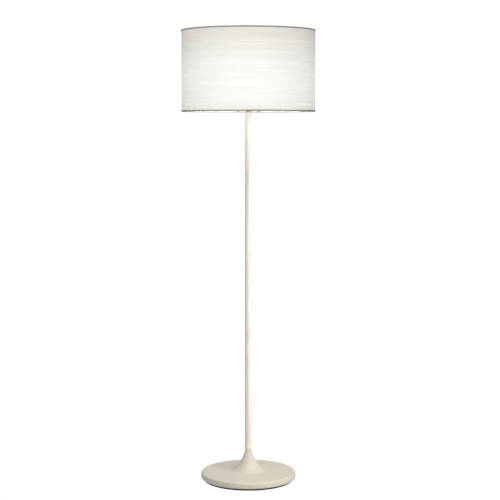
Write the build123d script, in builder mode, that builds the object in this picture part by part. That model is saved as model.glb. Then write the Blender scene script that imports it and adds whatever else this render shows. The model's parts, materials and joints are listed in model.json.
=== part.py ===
"""Floor lamp with a drum shade on a slim pole and a trumpet base.

Frame: millimetres, +Z up, origin on the floor under the pole's axis. The front is -Y, where the switch knob
points, and the supply lead enters at the back, +Y.
"""

from build123d import *
import os
from math import cos, pi, radians, sin

os.makedirs("parts", exist_ok=True)

# Driving dimensions -------------------------------------------------------------------------------

lamp_height = 1524.0  # floor to the shade's top rim
fit = 0.05  # radial play of a plug, thread or shaft in its hole
gap = 0.3  # air between pieces that move past each other

# Base
base_radius = 161.5
deck_z = 28.0  # top of the flat outer part of the base
neck_top_z = 106.0  # where the pole stands on the trumpet's neck
shell_wall = 1.5
rim_radius = 6.0  # rounding of the base's upper and lower edge
foot_height = 4.4
plate_thickness = 1.6
plate_top_z = foot_height + plate_thickness

# Pole
pole_radius = 11.5
pole_wall = 1.2
pole_top_z = 1248.0
section_count = 3

# Shade
shade_height = 270.0
shade_radius = 224.3  # over the rim tape
shade_top_z = lamp_height
shade_bottom_z = lamp_height - shade_height

# Threads, taken as plain cylinders at the thread's major radius
stem_radius = 5.0
stem_bore = 3.8
lead_radius = 2.8


def export(builder, name):
    """Labels a finished piece and writes its STEP file."""
    builder.part.label = name
    export_step(builder.part, f"parts/{name}.step")


# Base shell: spun sheet steel, from the neck down the flare, over the deck and round the rim ------

flare_radius = 66.0  # where the flare runs out into the deck
deck_slope = 1.6  # degrees
neck_handle, deck_handle = 5.0, 34.0  # how far the flare's curve holds each end's direction
lip_width = 2.0
bush_z = (deck_z + plate_top_z) / 2
bush_hole_radius = 5.05
neck_straight = 5.0


def shell_face(inset):
    """One face of the shell's wall, from the neck to the rolled lip, moved inwards by inset."""
    rim_x = base_radius - rim_radius
    neck = Line((pole_radius - inset, neck_top_z), (pole_radius - inset, neck_top_z - neck_straight))
    upper_edge = CenterArc((rim_x, deck_z - rim_radius), rim_radius - inset, 90 - deck_slope, deck_slope - 90)
    deck = Line(upper_edge @ 0 - (upper_edge % 0) * (rim_x - flare_radius), upper_edge @ 0)
    Bezier(neck @ 1, neck @ 1 - (0, neck_handle), deck @ 0 - (deck % 0) * deck_handle, deck @ 0)
    side = Line(upper_edge @ 1, (base_radius - inset, plate_top_z + rim_radius))
    lower_edge = JernArc(side @ 1, (0, -1), rim_radius - inset, -90)
    lip = Line(lower_edge @ 1, lower_edge @ 1 - (lip_width, 0))
    return neck @ 0, lip @ 1


with BuildPart() as base_shell:
    with BuildSketch(Plane.XZ):
        with BuildLine():
            outer_top, outer_lip = shell_face(0)
            inner_top, inner_lip = shell_face(shell_wall)
            Line(outer_top, inner_top)
            Line(outer_lip, inner_lip)
        make_face()
    revolve(axis=Axis.Z)
    with BuildSketch(Plane.XZ.offset(-base_radius - 1)):
        with Locations((0, bush_z)):
            Circle(bush_hole_radius)
    extrude(amount=3 * shell_wall, mode=Mode.SUBTRACT)
export(base_shell, "base_shell")

# Base weight: cast iron, with a tall boss for the clamping nut and a channel for the lead ---------

weight_radius = 140.0
weight_top_z = 18.0
boss_radius = 22.0
boss_top_z = 48.0
boss_rounding = 2.0
nut_recess_radius = 14.0
web_z = 38.5
channel_width = 14.0
channel_top_z = 16.0
block_width, block_length, block_height = 18.0, 20.0, 9.6  # terminal block
block_y = 76.0
block_room = 4.0
screw_circle_radius = 100.0
plate_screw_radius = 2.0
plate_screw_angles = [30, 150, 270]
plate_screw_spots = [
    (screw_circle_radius * cos(radians(angle)), screw_circle_radius * sin(radians(angle)))
    for angle in plate_screw_angles
]
plate_screw_length = 9.0

with BuildPart() as base_weight:
    with BuildSketch(Plane.XY.offset(plate_top_z)):
        Circle(weight_radius)
    extrude(amount=weight_top_z - plate_top_z)
    with BuildSketch(Plane.XY.offset(plate_top_z)):
        Circle(boss_radius)
    extrude(amount=boss_top_z - plate_top_z)
    fillet(base_weight.edges().filter_by(GeomType.CIRCLE).group_by(Axis.Z)[-1], boss_rounding)
    with BuildSketch(Plane.XY.offset(plate_top_z)):
        Circle(nut_recess_radius)
    extrude(amount=web_z - plate_top_z, mode=Mode.SUBTRACT)
    with BuildSketch(Plane.XY.offset(web_z)):
        Circle(stem_radius + 4 * fit)
    extrude(amount=boss_top_z - web_z, mode=Mode.SUBTRACT)
    with BuildSketch(Plane.XY.offset(plate_top_z)):
        with Locations((0, weight_radius / 2)):
            Rectangle(channel_width, weight_radius + 2)
    extrude(amount=channel_top_z - plate_top_z, mode=Mode.SUBTRACT)
    with BuildSketch(Plane.XY.offset(plate_top_z)):
        with Locations((0, block_y)):
            Rectangle(block_width + 2 * block_room, block_length + 2 * block_room)
    extrude(amount=weight_top_z - plate_top_z, mode=Mode.SUBTRACT)
    with BuildSketch(Plane.XY.offset(plate_top_z)):
        with Locations(*plate_screw_spots):
            Circle(plate_screw_radius + fit)
    extrude(amount=plate_screw_length + 1, mode=Mode.SUBTRACT)
export(base_weight, "base_weight")

# Base plate, its screws and the foot ring ---------------------------------------------------------

plate_radius = 155.0
plate_hole_radius = 2.25
screw_head_radius = 4.0
screw_head_height = 2.2
recess_length, recess_width, recess_depth = 4.4, 0.9, 1.2  # cross recess in each head
plate_edge_break = 0.4

with BuildPart() as base_plate:
    with BuildSketch(Plane.XY.offset(foot_height)):
        Circle(plate_radius)
        with Locations(*plate_screw_spots):
            Circle(plate_hole_radius, mode=Mode.SUBTRACT)
    extrude(amount=plate_thickness)
    chamfer(base_plate.edges().filter_by(GeomType.CIRCLE).sort_by(SortBy.RADIUS)[-1], plate_edge_break)
export(base_plate, "base_plate")

with BuildPart() as plate_screws:
    for spot in plate_screw_spots:
        with BuildSketch(Plane.XY.offset(foot_height - screw_head_height)):
            with Locations(spot):
                Circle(screw_head_radius)
        extrude(amount=screw_head_height)
        with BuildSketch(Plane.XY.offset(foot_height)):
            with Locations(spot):
                Circle(plate_screw_radius)
        extrude(amount=plate_screw_length)
        with BuildSketch(Plane.XY.offset(foot_height - screw_head_height)):
            with Locations(spot):
                Rectangle(recess_length, recess_width)
                Rectangle(recess_width, recess_length)
        extrude(amount=recess_depth, mode=Mode.SUBTRACT)
export(plate_screws, "plate_screws")

foot_outer_radius = 152.0
foot_inner_radius = 130.0
foot_rounding = 0.6

with BuildPart() as foot_ring:
    with BuildSketch(Plane.XY):
        Circle(foot_outer_radius)
        Circle(foot_inner_radius, mode=Mode.SUBTRACT)
    extrude(amount=foot_height)
    fillet(foot_ring.edges().filter_by(GeomType.CIRCLE).group_by(Axis.Z)[0], foot_rounding)
export(foot_ring, "foot_ring")

# Supply lead's snap bush in the rim, at the back --------------------------------------------------

bush_bore = 3.6
bush_flange_radius = 6.5
bush_outer_y = base_radius + 2.0
bush_inner_y = base_radius - 5.5
bush_barb = 0.8  # how far the barb stands out, and how long its ramp is
bush_play = 0.2
bush_groove_y = base_radius - shell_wall - bush_play

with BuildPart() as lead_bush:
    with BuildSketch(Plane.YZ):
        with BuildLine():
            Polyline(
                (bush_inner_y, bush_z + bush_bore),
                (bush_inner_y, bush_z + bush_hole_radius - fit),
                (bush_inner_y + bush_barb, bush_z + bush_hole_radius + bush_barb),
                (bush_groove_y, bush_z + bush_hole_radius + bush_barb),
                (bush_groove_y, bush_z + bush_hole_radius - fit),
                (base_radius + fit, bush_z + bush_hole_radius - fit),
                (base_radius + fit, bush_z + bush_flange_radius),
                (bush_outer_y - bush_barb, bush_z + bush_flange_radius),
                (bush_outer_y, bush_z + bush_flange_radius - bush_barb),
                (bush_outer_y, bush_z + bush_bore),
                close=True,
            )
        make_face()
    revolve(axis=Axis((0, 0, bush_z), (0, 1, 0)))
export(lead_bush, "lead_bush")

# Terminal block, where the supply lead is wired to the lead inside the pole -----------------------

block_z = plate_top_z + 0.4
block_rounding = 1.5
clamp_bore = 1.9
clamp_bore_z = block_z + 4.0
clamp_pitch = 9.0  # between the two ways
clamp_screw_pitch = 11.0  # between the two screws of a way
clamp_screw_radius = 1.7
clamp_screw_z = clamp_bore_z + 1.4
clamp_screw_length = 3.2
slot_length, slot_width, slot_depth = 2.6, 0.6, 0.6

with BuildPart() as terminal_block:
    with BuildSketch(Plane.XY.offset(block_z)):
        with Locations((0, block_y)):
            RectangleRounded(block_width, block_length, block_rounding)
    extrude(amount=block_height)
    with BuildSketch(Plane.XZ.offset(-block_y - block_length)):
        with Locations((0, clamp_bore_z)):
            with GridLocations(clamp_pitch, 1, 2, 1):
                Circle(clamp_bore)
    extrude(amount=2 * block_length, mode=Mode.SUBTRACT)
    with BuildSketch(Plane.XY.offset(clamp_bore_z)):
        with Locations((0, block_y)):
            with GridLocations(clamp_pitch, clamp_screw_pitch, 2, 2):
                Circle(clamp_screw_radius + fit)
    extrude(amount=block_height, mode=Mode.SUBTRACT)
export(terminal_block, "terminal_block")

with BuildPart() as terminal_clamp_screws:
    with BuildSketch(Plane.XY.offset(clamp_screw_z)):
        with Locations((0, block_y)):
            with GridLocations(clamp_pitch, clamp_screw_pitch, 2, 2):
                Circle(clamp_screw_radius)
    extrude(amount=clamp_screw_length)
    with BuildSketch(Plane.XY.offset(clamp_screw_z + clamp_screw_length - slot_depth)):
        with Locations((0, block_y)):
            with GridLocations(clamp_pitch, clamp_screw_pitch, 2, 2):
                Rectangle(slot_length, slot_width)
    extrude(amount=slot_depth, mode=Mode.SUBTRACT)
export(terminal_clamp_screws, "terminal_clamp_screws")

# Threaded stem that clamps weight, shell and pole, with its nut and washers -----------------------

stem_bottom_z = 28.0
stem_top_z = 122.0
nut_height = 6.0
nut_across_flats = 17.0
nut_bottom_z = 29.0
lock_washer_z = nut_bottom_z + nut_height
lock_washer_thickness = 1.5
lock_washer_radius = 9.0
lock_washer_split = 1.2
washer_radius = 11.0
thread_lead_in = 0.5

with BuildPart() as base_stem:
    with BuildSketch(Plane.XY.offset(stem_bottom_z)):
        Circle(stem_radius)
        Circle(stem_bore, mode=Mode.SUBTRACT)
    extrude(amount=stem_top_z - stem_bottom_z)
    chamfer(base_stem.edges().group_by(Axis.Z)[0].sort_by(SortBy.RADIUS)[-1], thread_lead_in)
export(base_stem, "base_stem")

with BuildPart() as base_nut:
    with BuildSketch(Plane.XY.offset(nut_bottom_z)):
        RegularPolygon(nut_across_flats / 2, 6, major_radius=False)
        Circle(stem_radius + fit, mode=Mode.SUBTRACT)
    extrude(amount=nut_height)
export(base_nut, "base_nut")

with BuildPart() as base_lock_washer:
    with BuildSketch(Plane.XY.offset(lock_washer_z)):
        Circle(lock_washer_radius)
        Circle(stem_radius + 3 * fit, mode=Mode.SUBTRACT)
        with Locations((lock_washer_radius - 2, 0)):
            Rectangle(5, lock_washer_split, mode=Mode.SUBTRACT)
    extrude(amount=lock_washer_thickness)
export(base_lock_washer, "base_lock_washer")

with BuildPart() as base_washer:
    with BuildSketch(Plane.XY.offset(lock_washer_z + lock_washer_thickness)):
        Circle(washer_radius)
        Circle(stem_radius + 4 * fit, mode=Mode.SUBTRACT)
    extrude(amount=web_z - lock_washer_z - lock_washer_thickness)
export(base_washer, "base_washer")

# Pole: three steel tubes with pressed-in plugs, screwed end to end --------------------------------

section_length = (pole_top_z - neck_top_z) / section_count
joint_heights = [neck_top_z + section_length * n for n in range(section_count + 1)]
plug_radius = pole_radius - pole_wall - fit
plug_length = 20.0
foot_plug_length = 18.0
spigot_length = 10.0  # of the foot plug, down into the neck
top_plug_length = 22.0
stud_lead_in = 0.8
lead_way = 4.0  # hole for the lead through plugs and studs
stud_radius = 7.0
stud_length = 15.0
end_break = 0.25

for n, section in enumerate(["lower_pole", "middle_pole", "upper_pole"]):
    with BuildPart() as tube:
        with BuildSketch(Plane.XY.offset(joint_heights[n])):
            Circle(pole_radius)
            Circle(pole_radius - pole_wall, mode=Mode.SUBTRACT)
        extrude(amount=section_length)
        outer_rings = tube.edges().filter_by(GeomType.CIRCLE).group_by(SortBy.RADIUS)[-1]
        chamfer(outer_rings, end_break)
    export(tube, section)

with BuildPart() as pole_foot_plug:
    with BuildSketch(Plane.XY.offset(neck_top_z)):
        Circle(plug_radius)
    extrude(amount=foot_plug_length)
    with BuildSketch(Plane.XY.offset(neck_top_z - spigot_length)):
        Circle(pole_radius - shell_wall - 2 * fit)
    extrude(amount=spigot_length)
    with BuildSketch(Plane.XY.offset(neck_top_z - spigot_length)):
        Circle(stem_radius + fit)
    extrude(amount=spigot_length + foot_plug_length, mode=Mode.SUBTRACT)
export(pole_foot_plug, "pole_foot_plug")

for place, joint_z in [("lower", joint_heights[1]), ("upper", joint_heights[2])]:
    with BuildPart() as joint_bush:
        with BuildSketch(Plane.XY.offset(joint_z - plug_length - 4)):
            Circle(plug_radius)
            Circle(lead_way, mode=Mode.SUBTRACT)
        extrude(amount=plug_length + 4)
        with BuildSketch(Plane.XY.offset(joint_z - stud_length - 1)):
            Circle(stud_radius + fit)
        extrude(amount=stud_length + 1, mode=Mode.SUBTRACT)
    export(joint_bush, f"{place}_joint_bush")
    with BuildPart() as joint_stud:
        with BuildSketch(Plane.XY.offset(joint_z)):
            Circle(plug_radius)
        extrude(amount=plug_length)
        with BuildSketch(Plane.XY.offset(joint_z - stud_length)):
            Circle(stud_radius)
        extrude(amount=stud_length)
        with BuildSketch(Plane.XY.offset(joint_z - stud_length)):
            Circle(lead_way)
        extrude(amount=plug_length + stud_length, mode=Mode.SUBTRACT)
        chamfer(joint_stud.edges().group_by(Axis.Z)[0].sort_by(SortBy.RADIUS)[-1], stud_lead_in)
    export(joint_stud, f"{place}_joint_stud")

with BuildPart() as pole_top_plug:
    with BuildSketch(Plane.XY.offset(pole_top_z - top_plug_length)):
        Circle(plug_radius)
        Circle(stem_radius + fit, mode=Mode.SUBTRACT)
    extrude(amount=top_plug_length)
export(pole_top_plug, "pole_top_plug")

# Pole cap and the threaded nipple that carries the saddle and socket ------------------------------

cap_height = 5.0
cap_rounding = 2.5
cap_top_z = pole_top_z + cap_height

with BuildPart() as pole_cap:
    with BuildSketch(Plane.XY.offset(pole_top_z)):
        Circle(pole_radius)
        Circle(stem_radius + fit, mode=Mode.SUBTRACT)
    extrude(amount=cap_height)
    fillet(pole_cap.edges().group_by(Axis.Z)[-1].sort_by(SortBy.RADIUS)[-1], cap_rounding)
export(pole_cap, "pole_cap")

nipple_bottom_z = pole_top_z - 14
saddle_thickness = 1.6
socket_z = cap_top_z + saddle_thickness  # underside of the socket
nipple_top_z = socket_z + 7

with BuildPart() as head_nipple:
    with BuildSketch(Plane.XY.offset(nipple_bottom_z)):
        Circle(stem_radius)
        Circle(stem_bore, mode=Mode.SUBTRACT)
    extrude(amount=nipple_top_z - nipple_bottom_z)
export(head_nipple, "head_nipple")

# Harp saddle, harp, its two sleeves and its threaded top ------------------------------------------

leg_x = 36.65  # axis of the harp's straight legs
wire_radius = 1.8
ear_thickness = 1.6
ear_x = leg_x - wire_radius - ear_thickness / 2 - fit
ear_width = 4.8
ear_height = 13.4
saddle_hub_radius = 12.0
saddle_strap_width = 9.0
saddle_end_radius = 5.4
sleeve_x = 35.8
sleeve_inner, sleeve_outer = 3.9, 4.9
sleeve_length = 15.0

with BuildPart() as harp_saddle:
    with BuildSketch(Plane.XY.offset(cap_top_z)):
        Circle(saddle_hub_radius)
        Rectangle(2 * sleeve_x, saddle_strap_width)
        with Locations((-sleeve_x, 0), (sleeve_x, 0)):
            Circle(saddle_end_radius)
        Circle(stem_radius + 2 * fit, mode=Mode.SUBTRACT)
    extrude(amount=saddle_thickness)
    with BuildSketch(Plane.XY.offset(socket_z)):
        with Locations((-ear_x, 0), (ear_x, 0)):
            Rectangle(ear_thickness, ear_width)
    extrude(amount=ear_height)
export(harp_saddle, "harp_saddle")

wire_top_z = 1501.0
harp_half_width = 56.5
right_leg = [
    (leg_x, socket_z + fit),
    (leg_x, 1308.0),
    (harp_half_width, 1352.0),
    (harp_half_width, 1418.0),
    (24.0, wire_top_z),
]
left_leg = [(-x, z) for x, z in reversed(right_leg)]
harp_radii = [70, 60, 110, 22, 22, 110, 60, 70]

with BuildPart() as harp_wire:
    with BuildLine(Plane.XZ):
        harp_path = FilletPolyline(*right_leg, *left_leg, radius=harp_radii)
    with BuildSketch(Plane.XY.offset(socket_z + fit)):
        with Locations((leg_x, 0)):
            Circle(wire_radius)
    sweep()
export(harp_wire, "harp_wire")

for side_name, side_sign in [("left", -1), ("right", 1)]:
    with BuildPart() as sleeve:
        with BuildSketch(Plane.XY.offset(socket_z + gap)):
            with Locations((side_sign * sleeve_x, 0)):
                Circle(sleeve_outer)
                Circle(sleeve_inner, mode=Mode.SUBTRACT)
        extrude(amount=sleeve_length)
        fillet(sleeve.edges().filter_by(GeomType.CIRCLE), 0.4)
    export(sleeve, f"harp_sleeve_{side_name}")

seat_z = 1508.0
finial_stud_radius = 3.15
finial_stud_top_z = 1518.0
post_radius = 6.5
post_seat_radius = 10.0
post_seat_thickness = 2.2
post_depth = 5.0  # below the harp's wire
stud_break = 0.6

with BuildPart() as harp_top:
    with BuildSketch(Plane.XZ):
        with BuildLine():
            Polyline(
                (0, wire_top_z - post_depth),
                (post_radius, wire_top_z - post_depth),
                (post_radius, seat_z - post_seat_thickness),
                (post_seat_radius, seat_z - post_seat_thickness),
                (post_seat_radius, seat_z),
                (finial_stud_radius, seat_z),
                (finial_stud_radius, finial_stud_top_z - stud_break),
                (finial_stud_radius - stud_break, finial_stud_top_z),
                (0, finial_stud_top_z),
                close=True,
            )
        make_face()
    revolve(axis=Axis.Z)
    with BuildSketch(Plane.YZ.offset(-post_radius - 1)):
        with Locations((0, wire_top_z)):
            Circle(wire_radius + fit)
    extrude(amount=2 * post_radius + 2, mode=Mode.SUBTRACT)
export(harp_top, "harp_top")

# Socket: cap, shell, card liner, switch block, screw contact and centre contact -------------------

hub_radius = 8.5
hub_height = 5.4
cap_radius = 18.0
cap_wall = 0.9
cap_rim_z = socket_z + 22.4
cap_shoulder_z = socket_z + 12.6
hub_top_thickness = 1.6
socket_shell_radius = 17.0
socket_shell_wall = 0.7
mouth_roll = 0.8  # the shell's rim, turned in at the mouth
shaft_hole_radius = 3.2
hole_cut_y = 12.0  # where the shaft's hole through shell and liner starts, and how deep it goes
hole_cut_depth = 6.0
socket_shell_bottom_z = socket_z + 13.9
socket_shell_top_z = socket_z + 64.4
mouth_radius = 15.4
block_bottom_z = socket_z + 12.4
block_top_z = socket_z + 37.4
block_radius = 15.0
shaft_z = socket_z + 26.9
set_screw_z = socket_z + 2.7
set_screw_radius = 1.5

with BuildPart() as socket_cap:
    with BuildSketch(Plane.XZ):
        with BuildLine():
            Polyline(
                (stem_radius + fit, socket_z),
                (hub_radius, socket_z),
                (hub_radius, socket_z + hub_height),
                (cap_radius - 1.5, cap_shoulder_z - 1.8),
                (cap_radius, cap_shoulder_z),
                (cap_radius, cap_rim_z),
                (cap_radius - cap_wall + fit, cap_rim_z),
                (cap_radius - cap_wall + fit, cap_shoulder_z + 0.6),
                (cap_radius - 2.2, cap_shoulder_z - 0.7),
                (hub_radius + 0.2, socket_z + hub_height + hub_top_thickness),
                (stem_radius + fit, socket_z + hub_height + hub_top_thickness),
                close=True,
            )
        make_face()
    revolve(axis=Axis.Z)
    with BuildSketch(Plane.XZ.offset(-hub_radius - 1)):
        with Locations((0, set_screw_z)):
            Circle(set_screw_radius + fit)
    extrude(amount=hub_radius + 1 - stem_radius, mode=Mode.SUBTRACT)
export(socket_cap, "socket_cap")

with BuildPart() as socket_set_screw:
    with BuildSketch(Plane.XZ.offset(-hub_radius - 0.6)):
        with Locations((0, set_screw_z)):
            Circle(set_screw_radius)
    extrude(amount=hub_radius + 0.6 - stem_radius - fit)
    with BuildSketch(Plane.XZ.offset(-hub_radius - 0.6)):
        with Locations((0, set_screw_z)):
            Rectangle(2.2, 0.5)
    extrude(amount=0.8, mode=Mode.SUBTRACT)
export(socket_set_screw, "socket_set_screw")

with BuildPart() as socket_shell:
    with BuildSketch(Plane.XZ):
        with BuildLine():
            Polyline(
                (socket_shell_radius - socket_shell_wall, socket_shell_bottom_z),
                (socket_shell_radius, socket_shell_bottom_z),
                (socket_shell_radius, socket_shell_top_z - mouth_roll),
                (socket_shell_radius - mouth_roll, socket_shell_top_z),
                (mouth_radius, socket_shell_top_z),
                (mouth_radius, socket_shell_top_z - mouth_roll),
                (socket_shell_radius - socket_shell_wall, socket_shell_top_z - mouth_roll),
                close=True,
            )
        make_face()
    revolve(axis=Axis.Z)
    with BuildSketch(Plane.XZ.offset(hole_cut_y)):
        with Locations((0, shaft_z)):
            Circle(shaft_hole_radius)
    extrude(amount=hole_cut_depth, mode=Mode.SUBTRACT)
export(socket_shell, "socket_shell")

liner_outer = socket_shell_radius - socket_shell_wall - 2 * fit
with BuildPart() as socket_liner:
    with BuildSketch(Plane.XY.offset(socket_shell_bottom_z)):
        Circle(liner_outer)
        Circle(mouth_radius, mode=Mode.SUBTRACT)
    extrude(amount=socket_shell_top_z - mouth_roll - 4 * fit - socket_shell_bottom_z)
    with BuildSketch(Plane.XZ.offset(hole_cut_y)):
        with Locations((0, shaft_z)):
            Circle(shaft_hole_radius - 0.4)
    extrude(amount=hole_cut_depth, mode=Mode.SUBTRACT)
export(socket_liner, "socket_liner")

shaft_radius = 2.0
rotor_radius = 5.0
rotor_notches = 4
rotor_notch_radius = 1.6
rotor_front_y, rotor_back_y = -9.0, 1.0
pocket_x = 11.0
pocket_depth, pocket_width, pocket_height = 5.0, 9.0, 15.0  # terminal pocket on each side of the block
groove_width, groove_depth = 3.6, 6.0  # conductors' groove across the block's underside
terminal_hole_radius = 1.5

with BuildPart() as switch_block:
    with BuildSketch(Plane.XY.offset(block_bottom_z)):
        Circle(block_radius)
    extrude(amount=block_top_z - block_bottom_z)
    with BuildSketch(Plane.XY.offset(block_bottom_z)):
        Rectangle(2 * block_radius + 2, groove_width)
    extrude(amount=groove_depth, mode=Mode.SUBTRACT)
    with BuildSketch(Plane.XY.offset(block_bottom_z + groove_depth - 1)):
        with Locations((-pocket_x - pocket_depth / 2, 0), (pocket_x + pocket_depth / 2, 0)):
            Rectangle(pocket_depth, pocket_width)
    extrude(amount=pocket_height, mode=Mode.SUBTRACT)
    with BuildSketch(Plane.XZ.offset(-rotor_back_y - gap)):
        with Locations((0, shaft_z)):
            Circle(rotor_radius + gap)
    extrude(amount=rotor_back_y - rotor_front_y + 2 * gap, mode=Mode.SUBTRACT)
    with BuildSketch(Plane.XZ):
        with Locations((0, shaft_z)):
            Circle(shaft_radius + fit)
    extrude(amount=block_radius + 1, mode=Mode.SUBTRACT)
    for side_sign in (-1, 1):
        with BuildSketch(Plane.YZ.offset(side_sign * (pocket_x + 1))):
            with Locations((0, shaft_z)):
                Circle(terminal_hole_radius + fit)
        extrude(amount=-side_sign * 5, mode=Mode.SUBTRACT)
export(switch_block, "switch_block")

terminal_head_radius, terminal_head_height = 3.1, 1.6
terminal_shank_length = 3.0
terminal_slot_length, terminal_slot_width, terminal_slot_depth = 5.0, 0.7, 0.7

for side_name, side_sign in [("neutral", -1), ("live", 1)]:
    with BuildPart() as terminal_screw:
        with BuildSketch(Plane.YZ.offset(side_sign * (pocket_x + fit))):
            with Locations((0, shaft_z)):
                Circle(terminal_head_radius)
        extrude(amount=side_sign * terminal_head_height)
        with BuildSketch(Plane.YZ.offset(side_sign * (pocket_x + fit))):
            with Locations((0, shaft_z)):
                Circle(terminal_hole_radius)
        extrude(amount=-side_sign * terminal_shank_length)
        slot_floor_x = pocket_x + fit + terminal_head_height - terminal_slot_depth
        with BuildSketch(Plane.YZ.offset(side_sign * slot_floor_x)):
            with Locations((0, shaft_z)):
                Rectangle(terminal_slot_length, terminal_slot_width)
        extrude(amount=side_sign * 1, mode=Mode.SUBTRACT)
    export(terminal_screw, f"{side_name}_terminal_screw")

screw_contact_radius = 13.3
screw_contact_height = 21.0
contact_sheet = 0.6
contact_hole_radius = 9.0

with BuildPart() as screw_contact:
    with BuildSketch(Plane.XY.offset(block_top_z)):
        Circle(screw_contact_radius + contact_sheet)
        Circle(contact_hole_radius, mode=Mode.SUBTRACT)
    extrude(amount=contact_sheet)
    with BuildSketch(Plane.XY.offset(block_top_z)):
        Circle(screw_contact_radius + contact_sheet)
        Circle(screw_contact_radius, mode=Mode.SUBTRACT)
    extrude(amount=screw_contact_height)
export(screw_contact, "screw_contact")

bulb_tip_z = block_top_z + 2.6
spring_width = 5.0
spring_sheet = 0.5

with BuildPart() as centre_contact:
    with BuildSketch(Plane.XZ.offset(-spring_width / 2)):
        with BuildLine():
            Polyline(
                (-7.5, block_top_z),
                (-7.5, block_top_z + spring_sheet),
                (-4.0, block_top_z + spring_sheet),
                (-1.0, bulb_tip_z - gap),
                (3.5, bulb_tip_z - gap),
                (3.5, bulb_tip_z - gap - spring_sheet),
                (-0.7, bulb_tip_z - gap - spring_sheet),
                (-3.7, block_top_z),
                close=True,
            )
        make_face()
    extrude(amount=spring_width)
export(centre_contact, "centre_contact")

# Switch: rotor, shaft and ribbed knob -------------------------------------------------------------

with BuildPart() as switch_rotor:
    with BuildSketch(Plane.XZ.offset(-rotor_back_y)):
        with Locations((0, shaft_z)):
            Circle(rotor_radius)
            with PolarLocations(rotor_radius + 0.6, rotor_notches):
                Circle(rotor_notch_radius, mode=Mode.SUBTRACT)
    extrude(amount=rotor_back_y - rotor_front_y)
    with BuildSketch(Plane.XZ.offset(-rotor_back_y)):
        with Locations((0, shaft_z)):
            Circle(shaft_radius)
    extrude(amount=rotor_back_y - rotor_front_y, mode=Mode.SUBTRACT)
export(switch_rotor, "switch_rotor")

shaft_end_y = -36.0
shaft_break = 0.4

with BuildPart() as switch_shaft:
    with BuildSketch(Plane.XZ.offset(-rotor_back_y)):
        with Locations((0, shaft_z)):
            Circle(shaft_radius)
    extrude(amount=rotor_back_y - shaft_end_y)
    chamfer(switch_shaft.edges().sort_by(Axis.Y)[0], shaft_break)
export(switch_shaft, "switch_shaft")

knob_radius = 6.5
knob_ribs = 16
knob_groove_radius = 0.9
knob_draft = 2.0  # degrees
knob_back_y, knob_front_y = -24.0, -41.0

with BuildPart() as switch_knob:
    with BuildSketch(Plane.XZ.offset(-knob_back_y)):
        with Locations((0, shaft_z)):
            Circle(knob_radius)
            with PolarLocations(knob_radius + 0.35, knob_ribs):
                Circle(knob_groove_radius, mode=Mode.SUBTRACT)
    extrude(amount=knob_back_y - knob_front_y, taper=knob_draft)
    with BuildSketch(Plane.XZ.offset(-knob_back_y)):
        with Locations((0, shaft_z)):
            Circle(shaft_radius)
    extrude(amount=knob_back_y - shaft_end_y, mode=Mode.SUBTRACT)
export(switch_knob, "switch_knob")

# Bulb: centre tip, glass insulator, screw cap, globe, stem, lead wires and filament ---------------

bulb_cap_radius = 13.0
bulb_height = 108.0
globe_radius = 30.0
tip_radius = 4.6
tip_height = 1.4
tip_rounding = 0.7

with BuildPart() as bulb_tip:
    with BuildSketch(Plane.XY.offset(bulb_tip_z)):
        Circle(tip_radius)
    extrude(amount=tip_height)
    fillet(bulb_tip.edges().group_by(Axis.Z)[0], tip_rounding)
export(bulb_tip, "bulb_tip")

insulator_z = bulb_tip_z + 0.5
insulator_height = 3.4
insulator_top_radius = 11.2

with BuildPart() as bulb_insulator:
    with BuildSketch(Plane.XZ):
        with BuildLine():
            Polyline(
                (tip_radius + fit, insulator_z),
                (8.0, insulator_z + 0.6),
                (insulator_top_radius, insulator_z + insulator_height),
                (0, insulator_z + insulator_height),
                (0, bulb_tip_z + tip_height + fit),
                (tip_radius + fit, bulb_tip_z + tip_height + fit),
                close=True,
            )
        make_face()
    revolve(axis=Axis.Z)
export(bulb_insulator, "bulb_insulator")

bulb_cap_z = insulator_z + insulator_height
bulb_cap_top_z = bulb_tip_z + 26.5
bulb_cap_wall = 0.4
bulb_cap_cone_height = 2.2

with BuildPart() as bulb_cap:
    with BuildSketch(Plane.XZ):
        with BuildLine():
            Polyline(
                (0, bulb_cap_z),
                (insulator_top_radius, bulb_cap_z),
                (bulb_cap_radius, bulb_cap_z + bulb_cap_cone_height),
                (bulb_cap_radius, bulb_cap_top_z),
                (bulb_cap_radius - bulb_cap_wall, bulb_cap_top_z),
                (bulb_cap_radius - bulb_cap_wall, bulb_cap_z + bulb_cap_cone_height),
                (insulator_top_radius - 0.2, bulb_cap_z + bulb_cap_wall),
                (0, bulb_cap_z + bulb_cap_wall),
                close=True,
            )
        make_face()
    revolve(axis=Axis.Z)
export(bulb_cap, "bulb_cap")

glass_wall = 0.8
globe_centre_z = bulb_tip_z + bulb_height - globe_radius
globe_foot_z = bulb_cap_top_z - 5


def globe_outline(inset):
    """Half outline of the globe, from its neck to its crown, moved inwards by inset."""
    r = globe_radius - inset
    neck_r = bulb_cap_radius - bulb_cap_wall - fit - inset
    foot = Line((neck_r, globe_foot_z), (neck_r, bulb_cap_top_z + 1))
    shoulder = Spline(
        foot @ 1, (17.0 - inset, globe_centre_z - 37), (25.6 - inset, globe_centre_z - 17), (r, globe_centre_z),
        tangents=[(0, 1), (0, 1)],
    )
    crown = CenterArc((0, globe_centre_z), r, 0, 90)
    return foot, shoulder, crown


with BuildPart() as bulb_globe:
    with BuildSketch(Plane.XZ):
        with BuildLine():
            globe_outline(0)
            globe_outline(glass_wall)
            neck_r = bulb_cap_radius - bulb_cap_wall - fit
            Line((neck_r, globe_foot_z), (neck_r - glass_wall, globe_foot_z))
            Line((0, globe_centre_z + globe_radius), (0, globe_centre_z + globe_radius - glass_wall))
        make_face()
    revolve(axis=Axis.Z)
export(bulb_globe, "bulb_globe")

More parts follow.
